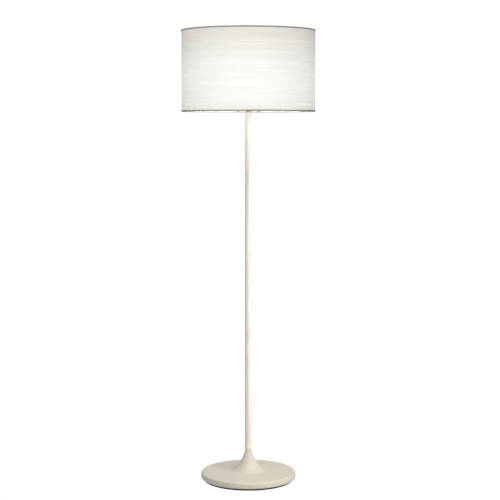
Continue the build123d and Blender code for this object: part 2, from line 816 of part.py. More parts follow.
stem_foot_z = bulb_cap_z + bulb_cap_wall + fit
glass_stem_top_z = globe_centre_z - 22
filament_z = globe_centre_z
wire_spread = 9.0
wire_foot_x = 2.0
support_wire_radius = 0.35
coil_radius = 0.8
coil_end = 0.8  # how far the filament runs past its wires

with BuildPart() as bulb_stem:
    with BuildSketch(Plane.XZ):
        with BuildLine():
            Polyline(
                (0, stem_foot_z),
                (9.0, stem_foot_z),
                (9.0, stem_foot_z + 3),
                (4.5, stem_foot_z + 10),
                (2.6, glass_stem_top_z - 4),
                (3.6, glass_stem_top_z),
                (0, glass_stem_top_z),
                close=True,
            )
        make_face()
    revolve(axis=Axis.Z)
export(bulb_stem, "bulb_stem")

with BuildPart() as filament_wires:
    for side_sign in (-1, 1):
        with BuildLine(Plane.XZ):
            Line((side_sign * wire_foot_x, glass_stem_top_z), (side_sign * wire_spread, filament_z))
        with BuildSketch(Plane.XY.offset(glass_stem_top_z)):
            with Locations((side_sign * wire_foot_x, 0)):
                Circle(support_wire_radius)
        sweep()
export(filament_wires, "filament_wires")

with BuildPart() as filament:
    with BuildSketch(Plane.YZ.offset(-wire_spread - coil_end)):
        with Locations((0, filament_z + coil_radius + 2 * fit)):
            Circle(coil_radius)
    extrude(amount=2 * wire_spread + 2 * coil_end)
export(filament, "filament")

# Lead inside the pole, from the terminal block to the socket, with its two stripped conductors ----

lead_run_z = plate_top_z + 4.4
lead_bend_radius = 18.0
lead_end_y = block_y - block_length / 2
lead_top_z = nipple_top_z

with BuildPart() as inner_lead:
    with BuildLine(Plane.YZ):
        lead_path = FilletPolyline(
            (lead_end_y, lead_run_z), (0, lead_run_z), (0, lead_top_z), radius=lead_bend_radius
        )
    with BuildSketch(Plane.XZ.offset(-lead_end_y)):
        with Locations((0, lead_run_z)):
            Circle(lead_radius)
    sweep()
export(inner_lead, "inner_lead")
lead_volume = lead_path.length * pi * lead_radius**2
print(f"inner lead: length {lead_path.length:.1f}, bend radius {lead_bend_radius}")
print(f"inner lead: volume {inner_lead.part.volume:.0f}, section times length {lead_volume:.0f}")

conductor_radius = 0.8
conductor_x = 1.3
conductor_bend = 2.0
conductor_z = block_bottom_z + 2.6  # height of the run through the groove
conductor_end = (pocket_x + 1.6, shaft_z - terminal_head_radius - 0.1)

with BuildPart() as socket_conductors:
    for side_sign in (-1, 1):
        with BuildLine(Plane.XZ):
            FilletPolyline(
                (side_sign * conductor_x, lead_top_z),
                (side_sign * conductor_x, conductor_z),
                (side_sign * conductor_end[0], conductor_z),
                (side_sign * conductor_end[0], conductor_end[1]),
                radius=conductor_bend,
            )
        with BuildSketch(Plane.XY.offset(lead_top_z)):
            with Locations((side_sign * conductor_x, 0)):
                Circle(conductor_radius)
        sweep()
export(socket_conductors, "socket_conductors")

# Shade: spider hub and arms, wire rings, liner, ribbed paper and rim tapes ------------------------

ring_wire = 1.6
ring_radius = 220.2
tape = 0.65
liner_inner, liner_outer_r = 221.9, 222.5
paper_inner, paper_outer = 222.6, 223.6
tape_cover = 4.5
wall_bottom_z = shade_bottom_z + tape + fit
wall_top_z = shade_top_z - tape - fit
ring_heights = {"bottom": wall_bottom_z + ring_wire, "top": wall_top_z - ring_wire}
hub_z = seat_z + gap
hub_thickness = 2.0
spider_hub_radius = 13.0
arm_radius = 2.0
arm_z = hub_z + hub_thickness / 2
arm_angles = [90, 210, 330]
arm_bend_x = 194.0
arm_bend_radius = 30.0
arm_end = (ring_radius - 1.45, ring_heights["top"] - 0.75)  # where the arm's axis meets the ring

with BuildPart() as spider_hub:
    with BuildSketch(Plane.XY.offset(hub_z)):
        Circle(spider_hub_radius)
        Circle(finial_stud_radius + gap, mode=Mode.SUBTRACT)
    extrude(amount=hub_thickness)
    fillet(spider_hub.edges().filter_by(GeomType.CIRCLE).group_by(SortBy.RADIUS)[-1], 0.4)
export(spider_hub, "spider_hub")

with BuildPart() as spider_arms:
    for angle in arm_angles:
        outward = (cos(radians(angle)), sin(radians(angle)), 0)
        sideways = (sin(radians(angle)), -cos(radians(angle)), 0)
        arm_plane = Plane((0, 0, 0), x_dir=outward, z_dir=sideways)
        with BuildLine(arm_plane):
            arm_path = FilletPolyline(
                (spider_hub_radius, arm_z), (arm_bend_x, arm_z), arm_end, radius=arm_bend_radius
            )
        with BuildSketch(Plane(origin=arm_path @ 0, z_dir=arm_path % 0)):
            Circle(arm_radius)
        sweep(path=arm_path)
export(spider_arms, "spider_arms")

for place, ring_z in ring_heights.items():
    with BuildPart() as ring:
        with BuildSketch(Plane.XZ):
            with Locations((ring_radius, ring_z)):
                Circle(ring_wire)
        revolve(axis=Axis.Z)
    export(ring, f"shade_{place}_ring")

for name, inner, outer in [
    ("shade_liner", liner_inner, liner_outer_r),
    ("shade_paper", paper_inner, paper_outer),
]:
    with BuildPart() as wall:
        with BuildSketch(Plane.XY.offset(wall_bottom_z)):
            Circle(outer)
            Circle(inner, mode=Mode.SUBTRACT)
        extrude(amount=wall_top_z - wall_bottom_z)
    export(wall, name)

for place, edge_z, inward in [("bottom", shade_bottom_z, 1), ("top", shade_top_z, -1)]:
    with BuildPart() as rim_tape:
        with BuildSketch(Plane.XZ):
            with BuildLine():
                Polyline(
                    (shade_radius, edge_z),
                    (shade_radius, edge_z + inward * tape_cover),
                    (shade_radius - tape, edge_z + inward * tape_cover),
                    (shade_radius - tape, edge_z + inward * tape),
                    (ring_radius - ring_wire, edge_z + inward * tape),
                    (ring_radius - ring_wire, edge_z),
                    close=True,
                )
            make_face()
        revolve(axis=Axis.Z)
    export(rim_tape, f"shade_{place}_tape")

# Finial: brass insert on the harp's stud, under a turned cap --------------------------------------

finial_z = hub_z + hub_thickness + gap
insert_radius = 5.0
insert_top_z = finial_stud_top_z + 1.0
finial_top_z = 1522.6
finial_radius = 11.0
finial_foot_radius = 7.0
finial_rounding = 2.4

with BuildPart() as finial_insert:
    with BuildSketch(Plane.XY.offset(finial_z)):
        Circle(insert_radius)
        Circle(finial_stud_radius + fit, mode=Mode.SUBTRACT)
    extrude(amount=insert_top_z - finial_z)
export(finial_insert, "finial_insert")

with BuildPart() as finial:
    with BuildSketch(Plane.XZ):
        with BuildLine():
            Polyline(
                (insert_radius + fit, finial_z),
                (finial_foot_radius, finial_z),
                (finial_foot_radius, finial_z + 2.0),
                (finial_radius, finial_z + 3.2),
                (finial_radius, finial_top_z - finial_rounding),
            )
            crown_start = (finial_radius, finial_top_z - finial_rounding)
            RadiusArc(crown_start, (finial_radius - finial_rounding, finial_top_z), -finial_rounding)
            Polyline(
                (finial_radius - finial_rounding, finial_top_z),
                (0, finial_top_z),
                (0, insert_top_z + fit),
                (insert_radius + fit, insert_top_z + fit),
                (insert_radius + fit, finial_z),
            )
        make_face()
    revolve(axis=Axis.Z)
export(finial, "finial")
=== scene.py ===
# %% [markdown]
# # A floor lamp with a ribbed paper drum shade
#
# The lamp's engineering model is already fixed: every part has its size and its place. This lesson gives those
# parts their looks. It goes from the floor up, base, pole, fittings, bulb and shade, because each one is lit by
# the ones that follow. Everything is in metres, and +Z is up.

import json
import random
from math import atan2, cos, hypot, pi, radians, sin

import bmesh
import bpy
from mathutils import Matrix, Vector, noise
from mathutils.geometry import interpolate_bezier


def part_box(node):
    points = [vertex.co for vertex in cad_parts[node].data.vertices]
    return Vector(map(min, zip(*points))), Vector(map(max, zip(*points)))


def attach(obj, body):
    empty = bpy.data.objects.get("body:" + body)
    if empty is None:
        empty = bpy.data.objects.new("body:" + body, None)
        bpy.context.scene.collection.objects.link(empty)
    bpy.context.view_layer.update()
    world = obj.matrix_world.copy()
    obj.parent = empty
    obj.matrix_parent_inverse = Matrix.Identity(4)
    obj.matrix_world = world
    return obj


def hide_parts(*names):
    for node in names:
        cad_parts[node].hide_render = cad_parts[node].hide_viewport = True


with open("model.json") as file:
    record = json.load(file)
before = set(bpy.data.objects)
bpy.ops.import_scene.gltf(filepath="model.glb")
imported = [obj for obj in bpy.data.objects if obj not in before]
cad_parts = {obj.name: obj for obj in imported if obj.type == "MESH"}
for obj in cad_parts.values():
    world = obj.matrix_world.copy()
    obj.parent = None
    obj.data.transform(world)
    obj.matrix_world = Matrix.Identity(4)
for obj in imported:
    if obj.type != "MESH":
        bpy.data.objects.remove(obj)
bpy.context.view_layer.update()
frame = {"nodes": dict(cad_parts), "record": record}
record = frame["record"]
body_of = {node: body for body, group in record["behaviour"]["bodies"].items() for node in group}
slot_of = {part["node"]: part["material_slot"] for part in record["subparts"]}
MM = 0.001

# %% [markdown]
# ## Where things are
#
# A part's box says how wide it is and where it starts and ends. Most of this lamp is round about one upright
# axis, so three numbers place nearly everything: outer radius, bottom and top.

# %% Read a round part's radius, bottom and top


def extent(node):
    """Outer radius, bottom and top of a part that is round about the lamp's axis."""
    low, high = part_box(node)
    return (high[0] - low[0]) / 2, low[2], high[2]


base_radius, base_bottom, neck_top = extent("base_shell")
pole_radius = extent("lower_pole")[0]
paper_radius, paper_bottom, paper_top = extent("shade_paper")
globe_radius, globe_foot, globe_top = extent("bulb_globe")
bulb_z = globe_top - globe_radius
print(f"base {base_radius:.4f}, pole {pole_radius:.4f}, shade {paper_radius:.4f}, bulb centre {bulb_z:.4f}")

# %% [markdown]
# ## The camera
#
# A long lens from four and a half metres away, a little above the middle of the lamp and tipped down, shows the
# base as a shallow oval and the shade almost flat on. A short lens would bend both.

# %% Place the camera
camera = bpy.data.cameras.new("studio_camera")
camera.sensor_width = 36.0
camera.lens = 96.44
camera.clip_end = 100.0
camera_object = bpy.data.objects.new("studio_camera", camera)
camera_object.location = (0.0055, -4.5086, 1.205)
camera_object.rotation_euler = (radians(90 - 5.27), 0, 0)
bpy.context.collection.objects.link(camera_object)
bpy.context.scene.camera = camera_object
bpy.context.scene.view_settings.view_transform = "Standard"
print("lens", camera.lens, "height", camera_object.location.z)

# %% [markdown]
# ## Shader maths as plain expressions
#
# A material is a tree of nodes. Wiring a Math node by hand for every sum hides what is being worked out, so one
# small class wraps a socket and lets `1 - mask * 0.3` add the nodes itself. A second class holds one material's
# tree, and its `node` method makes every other kind of node.

# %% Wrap sockets and material trees


class Value:
    """A socket that numbers and other sockets can be added to, taken from, multiplied and divided."""

    def __init__(self, finish, socket):
        self.finish = finish
        self.socket = socket

    def maths(self, operation, *terms, **settings):
        return self.finish.node("ShaderNodeMath", dict(enumerate(terms)), operation=operation, **settings)

    def __add__(self, other):
        return self.maths("ADD", self, other)

    def __sub__(self, other):
        return self.maths("SUBTRACT", self, other)

    def __rsub__(self, other):
        return self.maths("SUBTRACT", other, self)

    def __mul__(self, other):
        return self.maths("MULTIPLY", self, other)

    def __truediv__(self, other):
        return self.maths("DIVIDE", self, other)

    def __pow__(self, other):
        return self.maths("POWER", self, other)

    __radd__ = __add__

    def wave(self):
        return self.maths("SINE", self)

    def held(self):
        """The value, kept between 0 and 1."""
        return self.maths("ADD", self, 0.0, use_clamp=True)

    def ramp(self, start, end):
        """0 before start, 1 after end, and a straight rise between them."""
        return ((self - start) / (end - start)).held()


class Finish:
    """One material: its node tree, its Principled shader and the calls that build them."""

    def __init__(self, name, **shader_values):
        self.material = bpy.data.materials.new(name)
        self.material.use_nodes = True
        self.tree = self.material.node_tree
        self.shader = self.tree.nodes["Principled BSDF"]
        for words, value in shader_values.items():
            self.shader.inputs[words.replace("_", " ").title().replace("Ior", "IOR")].default_value = value
        self.place = self.node("ShaderNodeTexCoord", out="Object")

    def node(self, kind, inputs=None, out=0, **settings):
        node = self.tree.nodes.new(kind)
        for key, value in settings.items():
            setattr(node, key, value)
        for key, value in (inputs or {}).items():
            if isinstance(value, Value):
                self.tree.links.new(value.socket, node.inputs[key])
            elif isinstance(value, tuple) and len(value) == 3 and node.inputs[key].type == "RGBA":
                node.inputs[key].default_value = (*value, 1.0)
            else:
                node.inputs[key].default_value = value
        return Value(self, node.outputs[out])

    def set(self, words, value):
        self.tree.links.new(value.socket, self.shader.inputs[words])

    def mix(self, mask, first, second):
        """The first colour where mask is 0, and the second where it is 1."""
        return self.node("ShaderNodeMix", {0: mask, 6: first, 7: second}, out=2, data_type="RGBA")

    def stretched(self, x, y, z):
        """Object coordinates multiplied along each axis."""
        return self.node("ShaderNodeVectorMath", {0: self.place, 1: Vector((x, y, z))}, operation="MULTIPLY")

    def noise(self, scale, detail=2.0, place=None, roughness=0.5):
        inputs = {"Vector": place or self.place, "Scale": scale, "Detail": detail, "Roughness": roughness}
        return self.node("ShaderNodeTexNoise", inputs, out=0)

    def cells(self, scale):
        return self.node("ShaderNodeTexVoronoi", {"Vector": self.place, "Scale": scale}, feature="F1")

    def xyz(self):
        split = self.node("ShaderNodeSeparateXYZ", {0: self.place})
        return [Value(self, socket) for socket in split.socket.node.outputs]

    def painted(self, name):
        """A number that the piece's own mesh carries at every point."""
        return self.node("ShaderNodeAttribute", out="Fac", attribute_name=name)

    def round_the_axis(self):
        """Angle about the lamp's axis, in radians."""
        x, y, _ = self.xyz()
        return self.node("ShaderNodeMath", {0: y, 1: x}, operation="ARCTAN2")

    def relief(self, height, depth):
        """Bump from a height of 0 to 1 that stands for depth metres."""
        bump = self.node("ShaderNodeBump", {"Height": height, "Distance": depth, "Strength": 1.0})
        self.set("Normal", bump)


def tint(colour, factor):
    """A colour made lighter or darker by a factor."""
    return tuple(min(1.0, channel * factor) for channel in colour)


print("shader maths ready")

# %% [markdown]
# ## The studio
#
# The lamp stands in a white sweep. The floor and the backdrop are seen as plain white, and still bounce light
# like white paper. A key light from the right models the pole and throws the neck's faint shadow over the base,
# and a high light brightens what faces up. Three more are kept for one part each: a weak fill from the left for
# the pole, a broad one from the front for the shade, and the light that leaves the shade's mouth and brightens
# the top of the pole.

# %% White floor and world


def white_to_the_camera(tree, lit_socket, output):
    """Shows pure white to the camera, and the other shader to every other ray."""
    path = tree.nodes.new("ShaderNodeLightPath")
    white = tree.nodes.new("ShaderNodeEmission" if output.type == "OUTPUT_MATERIAL" else "ShaderNodeBackground")
    white.inputs["Strength"].default_value = 1.02
    white.inputs["Color"].default_value = (1, 1, 1, 1)
    mixer = tree.nodes.new("ShaderNodeMixShader")
    tree.links.new(path.outputs["Is Camera Ray"], mixer.inputs[0])
    tree.links.new(lit_socket, mixer.inputs[1])
    tree.links.new(white.outputs[0], mixer.inputs[2])
    tree.links.new(mixer.outputs[0], output.inputs["Surface"])


floor_mesh = bpy.data.meshes.new("studio_floor")
floor_bm = bmesh.new()
bmesh.ops.create_grid(floor_bm, x_segments=1, y_segments=1, size=30.0)
floor_bm.to_mesh(floor_mesh)
floor_bm.free()
floor = bpy.data.objects.new("studio_floor", floor_mesh)
bpy.context.collection.objects.link(floor)
floor_finish = Finish("studio_paper", base_color=(0.66, 0.65, 0.635, 1), roughness=0.9)
white_to_the_camera(floor_finish.tree, floor_finish.shader.outputs[0], floor_finish.tree.nodes["Material Output"])
floor_mesh.materials.append(floor_finish.material)

world = bpy.data.worlds.new("studio")
bpy.context.scene.world = world
world.use_nodes = True
sky = world.node_tree.nodes["Background"]
sky.inputs["Color"].default_value = (1.0, 0.99, 0.97, 1)
sky.inputs["Strength"].default_value = 0.40
white_to_the_camera(world.node_tree, sky.outputs[0], world.node_tree.nodes["World Output"])

# %% Studio lights


def soft_light(name, place, target, size, power, colour):
    """A square light that faces the target."""
    light = bpy.data.lights.new(name, "AREA")
    light.size = size
    light.energy = power
    light.color = colour
    lamp = bpy.data.objects.new(name, light)
    lamp.location = place
    lamp.rotation_euler = (Vector(target) - Vector(place)).to_track_quat("-Z", "Y").to_euler()
    bpy.context.collection.objects.link(lamp)
    return lamp


key_light = soft_light("key_light", (2.6, -1.8, 1.75), (0, 0, 0.35), 0.7, 37, (1.0, 0.97, 0.92))
high_light = soft_light("high_light", (0.6, -1.3, 3.0), (0, 0, 0.5), 0.9, 36, (1.0, 0.985, 0.96))
pole_light = soft_light("pole_light", (-1.2, -1.8, 1.9), (0, 0, 0.9), 0.8, 9, (1.0, 0.99, 0.98))
shade_light = soft_light("shade_light", (-0.35, -4.2, 1.8), (0, 0, 1.38), 1.2, 79, (1.0, 0.99, 0.975))
mouth_light = soft_light("mouth_light", (0, 0, 1.262), (0, 0, 0), 0.3, 0.2, (1.0, 0.99, 0.975))
mouth_light.visible_camera = False
print("studio lights", key_light.name, high_light.name, pole_light.name, shade_light.name, mouth_light.name)

# %% [markdown]
# ## Enamel
#
# The base and the pole are steel under sprayed, oven-cured enamel. Close up, such paint has a faint orange peel,
# a few dust nibs and, on a spun part, the ghost of the spinning tool's rings. Each is a small height in the bump,
# because paint that thin changes how light breaks on the surface and hardly its colour.

# %% Make the enamel
CREAM = (0.80, 0.762, 0.665)
POLE_CREAM = (0.83, 0.79, 0.765)


def cream_enamel():
    finish = Finish("cream_enamel", specular_ior_level=0.4)
    drift = finish.noise(7.0, detail=2.0)
    pigment = finish.noise(1600.0, detail=1.0)
    _, _, height = finish.xyz()
    coat = finish.mix(height.ramp(neck_top, 3 * neck_top), CREAM, POLE_CREAM)
    colour = finish.mix(drift * 0.06, coat, (0.45, 0.42, 0.35))
    colour = finish.mix(pigment * 0.06, colour, (0.50, 0.46, 0.38))
    # Over the lowest 7 mm of the shell, towards its bottom edge, the colour is painted darker in patches.
    dark_patches = (1 - height.ramp(base_bottom, base_bottom + 0.007)) * finish.noise(60.0, detail=4.0)
    finish.set("Base Color", finish.mix(dark_patches * 0.35, colour, (0.42, 0.38, 0.31)))
    finish.set("Roughness", 0.44 + drift * 0.10 + pigment * 0.05)
    radius = finish.node("ShaderNodeVectorMath", {0: finish.stretched(1, 1, 0)}, out="Value", operation="LENGTH")
    rings = (radius * (2 * pi / 0.0034) + drift * 3.0).wave() * 0.06
    nibs = 1 - finish.cells(48.0).ramp(0.0, 0.022)
    peel = finish.noise(430.0, detail=1.5)
    finish.relief(peel * 0.55 + rings + nibs * 0.5, 0.00005)
    return finish.material


# %% [markdown]
# ## Lit paper
#
# The shade glows because the bulb shines through it. How bright a spot on a drum is follows from its distance to
# the bulb: level with the bulb it is nearest and is struck square on, and above and below it the light has further
# to go and strikes at a slant. That gives the fall-off `(1 + (h / r) ** 2) ** -1.5`. Long fibres and the ribs' thick
# and thin places let more or less light through, so they are painted into the glow as well as into the colour.

# %% Make the paper, its liner and its rim tape
PAPER = (0.66, 0.652, 0.628)
WARM_WHITE = (1.0, 0.965, 0.89)
COOL_WHITE = (1.0, 0.995, 0.985)
GLOW_DROP = 22.0 * MM


def bulb_light(finish):
    """How strongly the bulb lights the shade at each height: 1 level with it, less above and below."""
    _, _, height = finish.xyz()
    rise = (height - (bulb_z - GLOW_DROP)) * (1 / paper_radius)
    return (1 + rise * rise) ** -1.5


def lit_from_inside(name, base, low, high, streaks, roughness):
    """A translucent sheet: low is its glow far from the bulb, high the glow added level with it.

    A mesh may carry "rib", from 0 in a valley to 1 on a ridge; a mesh without it reads 0.
    """
    finish = Finish(name, specular_ior_level=0.25, emission_strength=1.0)
    rib = finish.painted("rib")
    laid = finish.noise(1.0, detail=3.0, place=finish.stretched(6, 6, 170))
    fine = finish.noise(1.0, detail=2.0, place=finish.stretched(45, 45, 1200))
    cloud = finish.noise(11.0, detail=2.0)
    grain = rib * 0.45 + laid * 0.35 + fine * 0.12 + cloud * 0.08
    light = bulb_light(finish)
    finish.set("Base Color", finish.mix(grain, tint(base, 1 - streaks), tint(base, 1 + streaks)))
    strength = (low + light * high) * (1 - streaks + grain * (2 * streaks))
    colour = finish.mix(light.ramp(0.55, 1.0), WARM_WHITE, COOL_WHITE)
    glow = finish.node("ShaderNodeVectorMath", {0: colour, "Scale": strength}, operation="SCALE")
    finish.set("Emission Color", glow)
    finish.set("Roughness", roughness + fine * 0.1)
    finish.relief(laid * 0.4 + fine * 0.6, 0.00015)
    return finish.material


def ribbed_paper():
    return lit_from_inside("ribbed_paper", PAPER, low=0.04, high=0.395, streaks=0.12, roughness=0.82)


def shade_liner():
    return lit_from_inside("shade_liner", PAPER, low=0.20, high=0.46, streaks=0.05, roughness=0.55)


def rim_tape():
    """A narrow woven tape, glued over the rims: warp and weft about 0.8 mm apart."""
    finish = Finish("rim_tape", specular_ior_level=0.2)
    turn = finish.round_the_axis()
    _, _, height = finish.xyz()
    warp = (turn * 1700.0).wave()
    weft = (height * (2 * pi / 0.0009)).wave()
    weave = warp * weft * 0.5 + 0.5
    wear = finish.noise(90.0, detail=3.0)
    yarn = finish.mix(weave, (0.235, 0.24, 0.205), (0.40, 0.405, 0.36))
    finish.set("Base Color", finish.mix(wear * 0.4, yarn, (0.30, 0.295, 0.25)))
    finish.set("Roughness", 0.78 + weave * 0.12)
    finish.relief(weave * 0.8 + wear * 0.2, 0.0002)
    return finish.material


# %% [markdown]
# ## Metals
#
# Plated fittings are turned or drawn, then dipped, so they keep fine lines round or along them and pick up soft
# finger marks. One function makes them all: the colour and the amount of tarnish set nickel apart from brass.

# %% Make the metals


def plated(name, colour, tarnish_colour, tarnish, roughness):
    finish = Finish(name, metallic=1.0)
    lines = finish.noise(1.0, detail=3.0, place=finish.stretched(160, 160, 5200))
    marks = finish.noise(55.0, detail=4.0)
    cloud = marks.ramp(0.45, 0.75)
    colour_now = finish.mix(lines * 0.5, colour, tint(colour, 0.84))
    finish.set("Base Color", finish.mix(cloud * tarnish, colour_now, tarnish_colour))
    finish.set("Roughness", roughness + cloud * 0.14 + lines * 0.06)
    finish.relief(lines * 0.7 + marks * 0.3, 0.00003)
    return finish.material


# Colour, tarnish colour, how much tarnish, roughness.
PLATED = {
    "nickel": ((0.66, 0.635, 0.59), (0.42, 0.38, 0.32), 0.30, 0.24),
    "zinc_steel": ((0.56, 0.575, 0.59), (0.36, 0.37, 0.36), 0.45, 0.34),
    "brass": ((0.80, 0.60, 0.29), (0.43, 0.28, 0.12), 0.40, 0.26),
    "bulb_cap_metal": ((0.78, 0.78, 0.79), (0.50, 0.50, 0.50), 0.25, 0.28),
}


def black_plate():
    """Steel sheet under a thin black stoving paint, which shows the rolling lines."""
    finish = Finish("black_plate", specular_ior_level=0.35)
    rolled = finish.noise(1.0, detail=3.0, place=finish.stretched(700, 40, 40))
    rubbed = finish.noise(30.0, detail=4.0).ramp(0.56, 0.72)
    finish.set("Base Color", finish.mix(rubbed * 0.4 + rolled * 0.2, (0.018, 0.018, 0.017), (0.06, 0.058, 0.054)))
    finish.set("Roughness", 0.48 + rolled * 0.2)
    finish.relief(rolled, 0.00004)
    return finish.material


def cast_iron():
    """Sand-cast and left rough, with a little bloom of rust in patches."""
    finish = Finish("cast_iron", metallic=0.55)
    sand = finish.noise(520.0, detail=4.0, roughness=0.65)
    lumps = finish.noise(70.0, detail=3.0)
    rust = (finish.noise(24.0, detail=5.0) * sand).ramp(0.28, 0.42)
    iron = finish.mix(sand, (0.055, 0.053, 0.052), (0.135, 0.13, 0.125))
    finish.set("Base Color", finish.mix(rust * 0.7, iron, (0.19, 0.085, 0.04)))
    finish.set("Roughness", 0.58 + sand * 0.25)
    finish.relief(sand * 0.6 + lumps * 0.4, 0.0006)
    return finish.material


def filament_metal():
    """Tungsten at a yellow heat."""
    finish = Finish("filament_metal", metallic=1.0, roughness=0.5, emission_strength=2.0)
    heat = finish.noise(600.0)
    finish.set("Base Color", finish.mix(heat, (0.35, 0.33, 0.31), (0.45, 0.42, 0.39)))
    finish.set("Emission Color", finish.mix(heat, (1.0, 0.62, 0.26), (1.0, 0.80, 0.48)))
    return finish.material


# %% [markdown]
# ## Plastics, card, foam and glass
#
# Moulded plastic copies the fine spark-eroded grain of its mould. Foam shows cut cells, and insulating card
# shows pressed fibres. The bulb is frosted on the inside, so its glow has no hard edge.

# %% Make the mouldings


def moulded(name, colour, roughness, grain_depth, mottle):
    finish = Finish(name, specular_ior_level=0.45)
    grain = finish.cells(1500.0)
    swirl = finish.noise(35.0, detail=4.0)
    scuffs = finish.noise(1.0, detail=3.0, place=finish.stretched(90, 700, 90)).ramp(0.62, 0.75)
    finish.set("Base Color", finish.mix(swirl * mottle + scuffs * 0.10, colour, tint(colour, 1.5)))
    finish.set("Roughness", roughness + grain * 0.12 + scuffs * 0.08)
    finish.relief(grain * 0.8 + swirl * 0.2, grain_depth)
    return finish.material


# Colour, roughness, depth of the grain, and how mottled it is.
MOULDED = {
    "black_nylon": ((0.022, 0.022, 0.023), 0.42, 0.00005, 0.12),
    "white_nylon": ((0.80, 0.79, 0.74), 0.40, 0.00003, 0.12),
    "phenolic": ((0.045, 0.028, 0.022), 0.26, 0.00002, 0.5),
    "lead_sheath": ((0.74, 0.72, 0.66), 0.46, 0.00003, 0.12),
    "bulb_insulator": ((0.016, 0.016, 0.022), 0.08, 0.00001, 0.12),
}


def white_wire():
    """White powder coat: a fine even pebble, and a little dirt where hands turn the shade."""
    finish = Finish("white_wire", specular_ior_level=0.45)
    pebble = finish.noise(1300.0, detail=1.0)
    dark_patches = finish.noise(28.0, detail=3.0).ramp(0.5, 0.8)
    finish.set("Base Color", finish.mix(dark_patches * 0.25, (0.84, 0.84, 0.81), (0.62, 0.60, 0.54)))
    finish.set("Roughness", 0.42 + pebble * 0.16)
    finish.relief(pebble, 0.00006)
    return finish.material


def black_foam():
    finish = Finish("black_foam", specular_ior_level=0.12)
    pores = finish.cells(900.0)
    dust = finish.noise(160.0, detail=4.0).ramp(0.55, 0.85)
    finish.set("Base Color", finish.mix(dust * 0.35, (0.010, 0.010, 0.009), (0.045, 0.043, 0.038)))
    finish.set("Roughness", 0.86 + dust * 0.1)
    finish.relief(pores, 0.0003)
    return finish.material


def card():
    finish = Finish("card", specular_ior_level=0.2)
    fibre = finish.noise(1.0, detail=5.0, place=finish.stretched(500, 500, 1300), roughness=0.7)
    finish.set("Base Color", finish.mix(fibre, (0.34, 0.235, 0.14), (0.60, 0.46, 0.31)))
    finish.set("Roughness", 0.80 + fibre * 0.15)
    finish.relief(fibre, 0.0001)
    return finish.material


# %% Make the bulb's glass


def frosted_glass():
    """Glass with an etched inner face: brightest from the filament up to the crown, a little dimmer towards the
    neck.
    """
    finish = Finish("frosted_glass", coat_weight=0.6, coat_roughness=0.05, emission_strength=3.0)
    etch = finish.noise(900.0, detail=2.0)
    _, _, height = finish.xyz()
    neck = height.ramp(globe_foot, bulb_z - 0.01)
    finish.set("Base Color", finish.mix(etch * 0.5, (0.93, 0.92, 0.89), (0.82, 0.81, 0.78)))
    finish.set("Emission Color", finish.mix(neck, (0.62, 0.50, 0.36), (1.0, 0.94, 0.82)))
    finish.set("Roughness", 0.35 + etch * 0.15)
    finish.relief(etch, 0.00002)
    return finish.material


def stem_glass():
    finish = Finish("stem_glass", ior=1.5, transmission_weight=0.9)
    seed = finish.noise(240.0, detail=3.0)
    finish.set("Base Color", finish.mix(seed * 0.3, (0.95, 0.97, 0.96), (0.75, 0.82, 0.80)))
    finish.set("Roughness", 0.04 + seed * 0.08)
    return finish.material


makers = [cream_enamel, ribbed_paper, shade_liner, rim_tape, black_plate, cast_iron, filament_metal, white_wire]
makers += [black_foam, card, frosted_glass, stem_glass]
finishes = {make.__name__: make() for make in makers}
finishes |= {name: plated(name, *look) for name, look in PLATED.items()}
finishes |= {name: moulded(name, *look) for name, look in MOULDED.items()}
print("finishes", sorted(finishes))

# %% [markdown]
# ## Making a piece
#
# Nearly every part of a lamp is turned: an outline of half its section, spun about an axis. `turned` does that
# with bmesh's spin, then bevels the sharp edges, because no real edge is a knife edge and the bevel is what
# catches the light. `piece` makes the result an object in its part's place, with its part's finish.

# %% Helpers that shape and place a piece


def arc(centre, radius, start, end, steps=6):
    """Outline points along an arc, from start to end degrees."""
    turns = [radians(start + (end - start) * n / steps) for n in range(steps + 1)]
    return [(centre[0] + radius * cos(turn), centre[1] + radius * sin(turn)) for turn in turns]


def turned(outline, closed=True, steps=96, soften=0.0, segments=2):
    """Spins an outline of (radius, height) points about +Z and rounds its sharp edges by soften."""
    bm = bmesh.new()
    verts = [bm.verts.new((radius, 0, height)) for radius, height in outline]
    edges = [bm.edges.new(pair) for pair in zip(verts, verts[1:] + verts[:1] if closed else verts[1:])]
    bmesh.ops.spin(
        bm, geom=verts + edges, cent=(0, 0, 0), axis=(0, 0, 1), angle=2 * pi, steps=steps, use_merge=True
    )
    bmesh.ops.remove_doubles(bm, verts=bm.verts, dist=1e-7)
    bmesh.ops.recalc_face_normals(bm, faces=bm.faces)
    if soften:
        round_edges(bm, soften, segments)
    return bm


def round_edges(bm, width, segments=2, angle=28):
    """Bevels every edge where two faces meet at more than angle degrees."""
    sharp = [edge for edge in bm.edges if edge.is_manifold and edge.calc_face_angle(0) > radians(angle)]
    bmesh.ops.bevel(
        bm, geom=sharp, offset=width, offset_type="OFFSET", segments=segments, profile=0.5,
        affect="EDGES", clamp_overlap=True, material=-1,
    )


def from_corner(radius, height, *steps):
    """Outline points that lie so many millimetres out and up from a corner."""
    return [(radius + out * MM, height + up * MM) for out, up in steps]


def tube_outline(inner, outer, bottom, top):
    return [(inner, bottom), (outer, bottom), (outer, top), (inner, top)]


def flute(bm, lobes, depth, low, high, from_radius):
    """Presses upright flutes, depth deep, into a turned wall between two heights."""
    for vert in bm.verts:
        radius = hypot(vert.co.x, vert.co.y)
        if low <= vert.co.z <= high and radius > from_radius:
            press = depth * (0.5 - 0.5 * cos(lobes * atan2(vert.co.y, vert.co.x)))
            vert.co.x *= 1 - press / radius
            vert.co.y *= 1 - press / radius


def join(bm, addition):
    """Moves the second shape's faces into the first."""
    holder = bpy.data.meshes.new("holder")
    addition.to_mesh(holder)
    addition.free()
    bm.from_mesh(holder)
    bpy.data.meshes.remove(holder)


